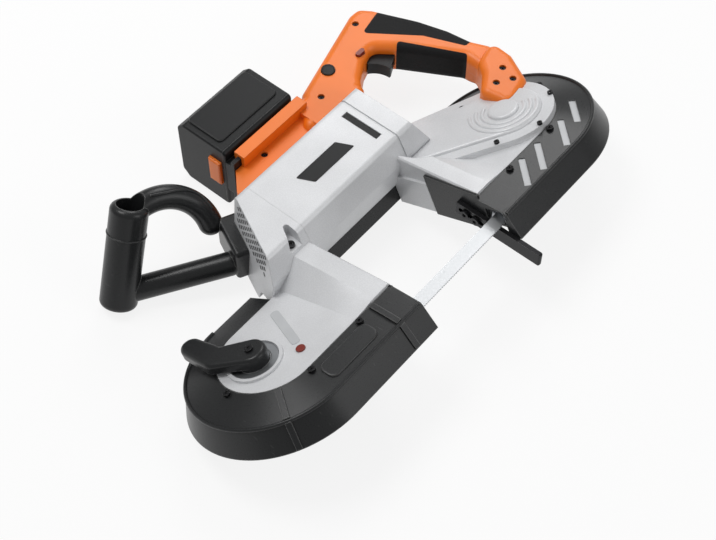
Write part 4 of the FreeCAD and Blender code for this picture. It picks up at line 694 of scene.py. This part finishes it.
# toWorld puts the plate's own x, y and z in mm on the saw
def plateMesh(name, plate, toWorld):
    width = plate["width"]
    height = plate["height"]
    corner = plate["corner"]
    thick = plate["thick"]
    outline = []
    for right, over, start in ((1, 1, 0), (-1, 1, 90), (-1, -1, 180), (1, -1, 270)):
        for step in range(plateEdge["cornerSteps"] + 1):
            across, up = spoke(start + 90 * step / plateEdge["cornerSteps"])
            outline.append((right * (width / 2 - corner) + corner * across,
                            over * (height / 2 - corner) + corner * up))
    soft = min(thick * plateEdge["softThick"], corner * plateEdge["softCorner"])
    first = soft * plateEdge["softStep"]
    shape = bmesh.new()
    rings = []
    for z, inset in ((0.0, 0.0), (thick - soft, 0.0), (thick - first, first), (thick, soft)):
        shareX = 1 - 2 * inset / width
        shareY = 1 - 2 * inset / height
        rings.append([shape.verts.new(toWorld(x * shareX, y * shareY, z)) for x, y in outline])
    count = len(outline)
    for low, high in zip(rings, rings[1:]):
        for i in range(count):
            shape.faces.new((low[i], low[(i + 1) % count], high[(i + 1) % count], high[i]))
    shape.faces.new(rings[-1])
    shape.faces.new(list(reversed(rings[0])))
    return closeShape(name, shape)


plates = {
    "badge": dict(x=8.4, y=100.5, width=56.6, height=17.2, slant=-0.5, corner=1.2, thick=0.9),
    "motorSlot": dict(x=65.0, y=103.0, width=7.7, height=43.6, corner=1.2, thick=1.6, sink=2.6),
    "battery": dict(x=7.0, y=219.0, width=84.0, height=44.0, corner=5.0, thick=2.0),
    "guard": dict(x=-140.0, width=62.0, height=19.0, corner=7.0, thick=1.8),
    "channel": dict(start=(-135.0, 35.0), end=(-156.5, -18.5), height=9.0, corner=4.05, thick=0.5),
}


def makePlates():
    top = saw["motorTop"]
    badge = plates["badge"]
    mesh = plateMesh("badgePlate", badge, lambda x, y, z: fromTool(
        badge["x"] + x + badge["slant"] * y, badge["y"] + y, top + z))
    settle(place("badgePlate", mesh, "blackNylon"), "saw_frame")
    # black plate on the floor of the motor's slot: painted shade, so the slot reads dark
    slotShade = plates["motorSlot"]
    mesh = plateMesh("motorSlotShadePlate", slotShade, lambda x, y, z: fromTool(
        slotShade["x"] + x, slotShade["y"] + y, top - slotShade["sink"] + z))
    settle(place("motorSlotShadePlate", mesh, "blackNylon"), "saw_frame")
    panel = plates["battery"]
    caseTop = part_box("battery_case")[1][2] / mm - saw["shift"][2]
    mesh = plateMesh("batteryPanel", panel, lambda x, y, z: fromTool(
        panel["x"] + x, panel["y"] + y, caseTop + z))
    settle(place("batteryPanel", mesh, "blackNylon"), "battery")
    scoop = plates["guard"]
    mesh = plateMesh("guardPanel", scoop, lambda x, y, z: fromLoop(
        scoop["x"] + x, y - bandMidR, bandMidZ + bandFall * y + z))
    settle(place("guardPanel", mesh, "guardNylon"), "saw_frame")
    # grey plate along the tension channel: painted shade standing in for the shadowed recess in the casting
    channel = plates["channel"]
    start = Vector(channel["start"])
    end = Vector(channel["end"])
    along = (end - start).normalized()
    middle = (start + end) / 2
    plate = dict(channel, width=(end - start).length)
    mesh = plateMesh("tensionChannelShade", plate, lambda x, y, z: fromLoop(
        middle.x + along.x * x - along.y * y, middle.y + along.y * x + along.x * y, saw["lipZ"] + z))
    settle(place("tensionChannelShade", mesh, "greyInlayAndShade"), "saw_frame")


# grey strips set a little below the rear guard's surface in its slits
strips = {
    "backs": (59.0, 34.0, -4.0, -38.0),  # from the wheel's middle, below zero round its bend
    "lean": 45.0,
    "length": 36.0,
    "width": 7.2,
    "sink": 1.0,
    "thick": 0.8,
    "steps": 10,
}


def bandSpot(x, y, sink):
    away = math.hypot(max(0.0, x - saw["wheelX"]), y)
    return fromLoop(x, y, saw["lipZ"] - (away - saw["lipR"]) * bandFall - sink)


def makeStrips():
    across, up = spoke(strips["lean"])
    ahead = Vector((up, across))
    aside = Vector((across, -up))
    half = strips["width"] / 2
    shape = bmesh.new()
    for back in strips["backs"]:
        turn = max(0.0, -back / bandMidR)
        middle = Vector((saw["wheelX"] - max(0.0, back), 0.0))
        middle += bandMidR * Vector((math.sin(turn), -math.cos(turn)))
        rows = []
        for i in range(strips["steps"] + 1):
            centre = middle + ahead * (strips["length"] * (i / strips["steps"] - 0.5))
            spots = [centre + aside * reach for reach in (-half, 0.0, half)]
            rows.append([shape.verts.new(bandSpot(spot.x, spot.y, strips["sink"])) for spot in spots])
        for low, high in zip(rows, rows[1:]):
            for i in range(2):
                shape.faces.new((low[i], low[i + 1], high[i + 1], high[i]))
    outward = turnLoop(0, 0, 1)
    shape.normal_update()
    bmesh.ops.reverse_faces(shape, faces=[face for face in shape.faces if face.normal.dot(outward) < 0])
    bmesh.ops.solidify(shape, geom=shape.faces[:], thickness=strips["thick"] * mm)
    piece = place("guardStrips", closeShape("guardStrips", shape), "greyInlayAndShade")
    settle(piece, "saw_frame")


# black plate just under the nose's face, behind its vent holes: painted shade, so the holes read dark inside
nose = {
    "start": (-116.5, 55.0),  # the face's upper edge
    "end": (-74.0, 145.0),
    "lean": 8.0,
    "leanHeight": 90.0,
    "along": (17.0, 88.0),
    "z": (4.0, 35.0),
    "corner": 3.0,
    "sink": 0.25,
    "thick": 0.8,
}


def makeVentShade():
    start = Vector((*nose["start"], saw["motorTop"]))
    along = (Vector((*nose["end"], saw["motorTop"])) - start).normalized()
    outward = Vector((-along.y, along.x, 0))

    def noseSpot(reach, z, sink):
        fall = (saw["motorTop"] - z) / nose["leanHeight"] * nose["lean"]
        return fromTool(*(start + along * reach + outward * (fall - sink)).xy, z)

    middle = sum(nose["along"]) / 2
    level = sum(nose["z"]) / 2
    deep = nose["sink"] + nose["thick"]
    plate = dict(nose, width=nose["along"][1] - nose["along"][0], height=nose["z"][1] - nose["z"][0])
    mesh = plateMesh("ventShadePlate", plate, lambda x, y, z: noseSpot(middle + x, level + y, deep - z))
    settle(place("ventShadePlate", mesh, "blackNylon"), "saw_frame")


# turned washer under the tension lever
washer = {
    "inner": 15.6,
    "outer": 23.2,
    "low": 22.0,
    "thick": 0.9,
    "wallShare": 0.6,
    "chamfer": 0.5,
    "sides": 72,
}


def makeWasher():
    thick = washer["thick"]
    wall = thick * washer["wallShare"]
    profile = [(washer["inner"], 0.0), (washer["outer"], 0.0), (washer["outer"], wall),
               (washer["outer"] - washer["chamfer"], thick), (washer["inner"] + washer["chamfer"], thick),
               (washer["inner"], wall)]
    shape = bmesh.new()
    rings = []
    for i in range(washer["sides"]):
        across, up = spoke(360 * i / washer["sides"])
        rings.append([shape.verts.new(fromLoop(saw["leverX"] + radius * across, saw["leverY"] + radius * up,
                                               washer["low"] + z)) for radius, z in profile])
    for i, ring in enumerate(rings):
        after = rings[(i + 1) % len(rings)]
        for corner in range(len(profile)):
            other = (corner + 1) % len(profile)
            shape.faces.new((ring[corner], after[corner], after[other], ring[other]))
    piece = place("leverWasher", closeShape("leverWasher", shape), "zincPlatedSteel")
    settle(piece, "saw_frame")


makeTeeth()
makeScrews()
makeBeads()
makeBars()
makePlates()
makeStrips()
makeVentShade()
makeWasher()
print("pieces ready")


# floor, lights and camera (metres, watts and degrees)
studio = {
    "floorSize": 8.0,
    "floorZ": -0.0005,
    "floorColor": "#F2F2F2",
    "floorRough": 0.9,
    "floorShine": 0.1,
    "floorGlow": 0.84,
    "worldLight": 0.42,
    "aim": (0.0, 0.0, 0.05),
    "lights": {
        "keyLight": dict(power=20.5, size=1.1, spot=(-0.2, 1.0, 2.1)),
        "fillLight": dict(power=8.0, size=1.2, spot=(0.6, -1.8, 1.2)),
        "rimLight": dict(power=12.0, size=1.0, spot=(1.4, 0.9, 1.5)),
    },
    "lens": 75.7,
    "sensor": 36.0,
    "cameraSpot": (-0.6547, -0.5601, 1.2152),
    "cameraTip": 34.22,
    "cameraTurn": -50.13,
}


# paper sweep: matt and even, so the saw's shadow lies soft on it
def makeFloor():
    bpy.ops.mesh.primitive_plane_add(size=studio["floorSize"], location=(0.0, 0.0, studio["floorZ"]))
    floor = bpy.context.object
    floor.name = "studioFloor"
    material = bpy.data.materials.new("paperSweep")
    material.use_nodes = True
    tree = material.node_tree
    shader = tree.nodes["Principled BSDF"]
    shader.inputs["Base Color"].default_value = linear(studio["floorColor"])
    shader.inputs["Roughness"].default_value = studio["floorRough"]
    shader.inputs["Specular IOR Level"].default_value = studio["floorShine"]
    # seen straight on or in a reflection the sweep is nearly white, and its shadow stays
    rays = add(tree, "ShaderNodeLightPath").outputs
    seen = add(tree, "ShaderNodeMath", {"operation": "MAXIMUM"}, i0=rays["Is Camera Ray"],
               i1=rays["Is Glossy Ray"])
    seen = add(tree, "ShaderNodeMath", {"operation": "MAXIMUM"}, i0=seen.outputs["Value"],
               i1=rays["Is Transmission Ray"])
    share = add(tree, "ShaderNodeMath", {"operation": "MULTIPLY"}, i0=seen.outputs["Value"],
                i1=studio["floorGlow"])
    glow = add(tree, "ShaderNodeEmission", Color=(1.0, 1.0, 1.0, 1.0), Strength=1.0)
    both = add(tree, "ShaderNodeMixShader", Fac=share.outputs["Value"], i1=shader.outputs["BSDF"],
               i2=glow.outputs["Emission"])
    tree.links.new(both.outputs["Shader"], tree.nodes["Material Output"].inputs["Surface"])
    floor.data.materials.append(material)


def makeLight(name, lamp):
    data = bpy.data.lights.new(name, "AREA")
    data.shape = "DISK"
    data.energy = lamp["power"]
    data.size = lamp["size"]
    light = bpy.data.objects.new(name, data)
    light.location = lamp["spot"]
    light.rotation_euler = (Vector(studio["aim"]) - Vector(lamp["spot"])).to_track_quat("-Z", "Y").to_euler()
    scene.collection.objects.link(light)


def makeWorld():
    world = bpy.data.worlds.new("studioWorld")
    scene.world = world
    world.use_nodes = True
    shade = world.node_tree.nodes["Background"]
    shade.inputs["Color"].default_value = (1.0, 1.0, 1.0, 1.0)
    shade.inputs["Strength"].default_value = studio["worldLight"]


def makeCamera():
    data = bpy.data.cameras.new("shotCamera")
    data.lens = studio["lens"]
    data.sensor_width = studio["sensor"]
    camera = bpy.data.objects.new("shotCamera", data)
    camera.location = studio["cameraSpot"]
    camera.rotation_euler = (math.radians(studio["cameraTip"]), 0.0, math.radians(studio["cameraTurn"]))
    scene.collection.objects.link(camera)
    scene.camera = camera


makeFloor()
makeWorld()
for name, lamp in studio["lights"].items():
    makeLight(name, lamp)
makeCamera()
scene.view_settings.view_transform = "Standard"
print("studio ready")
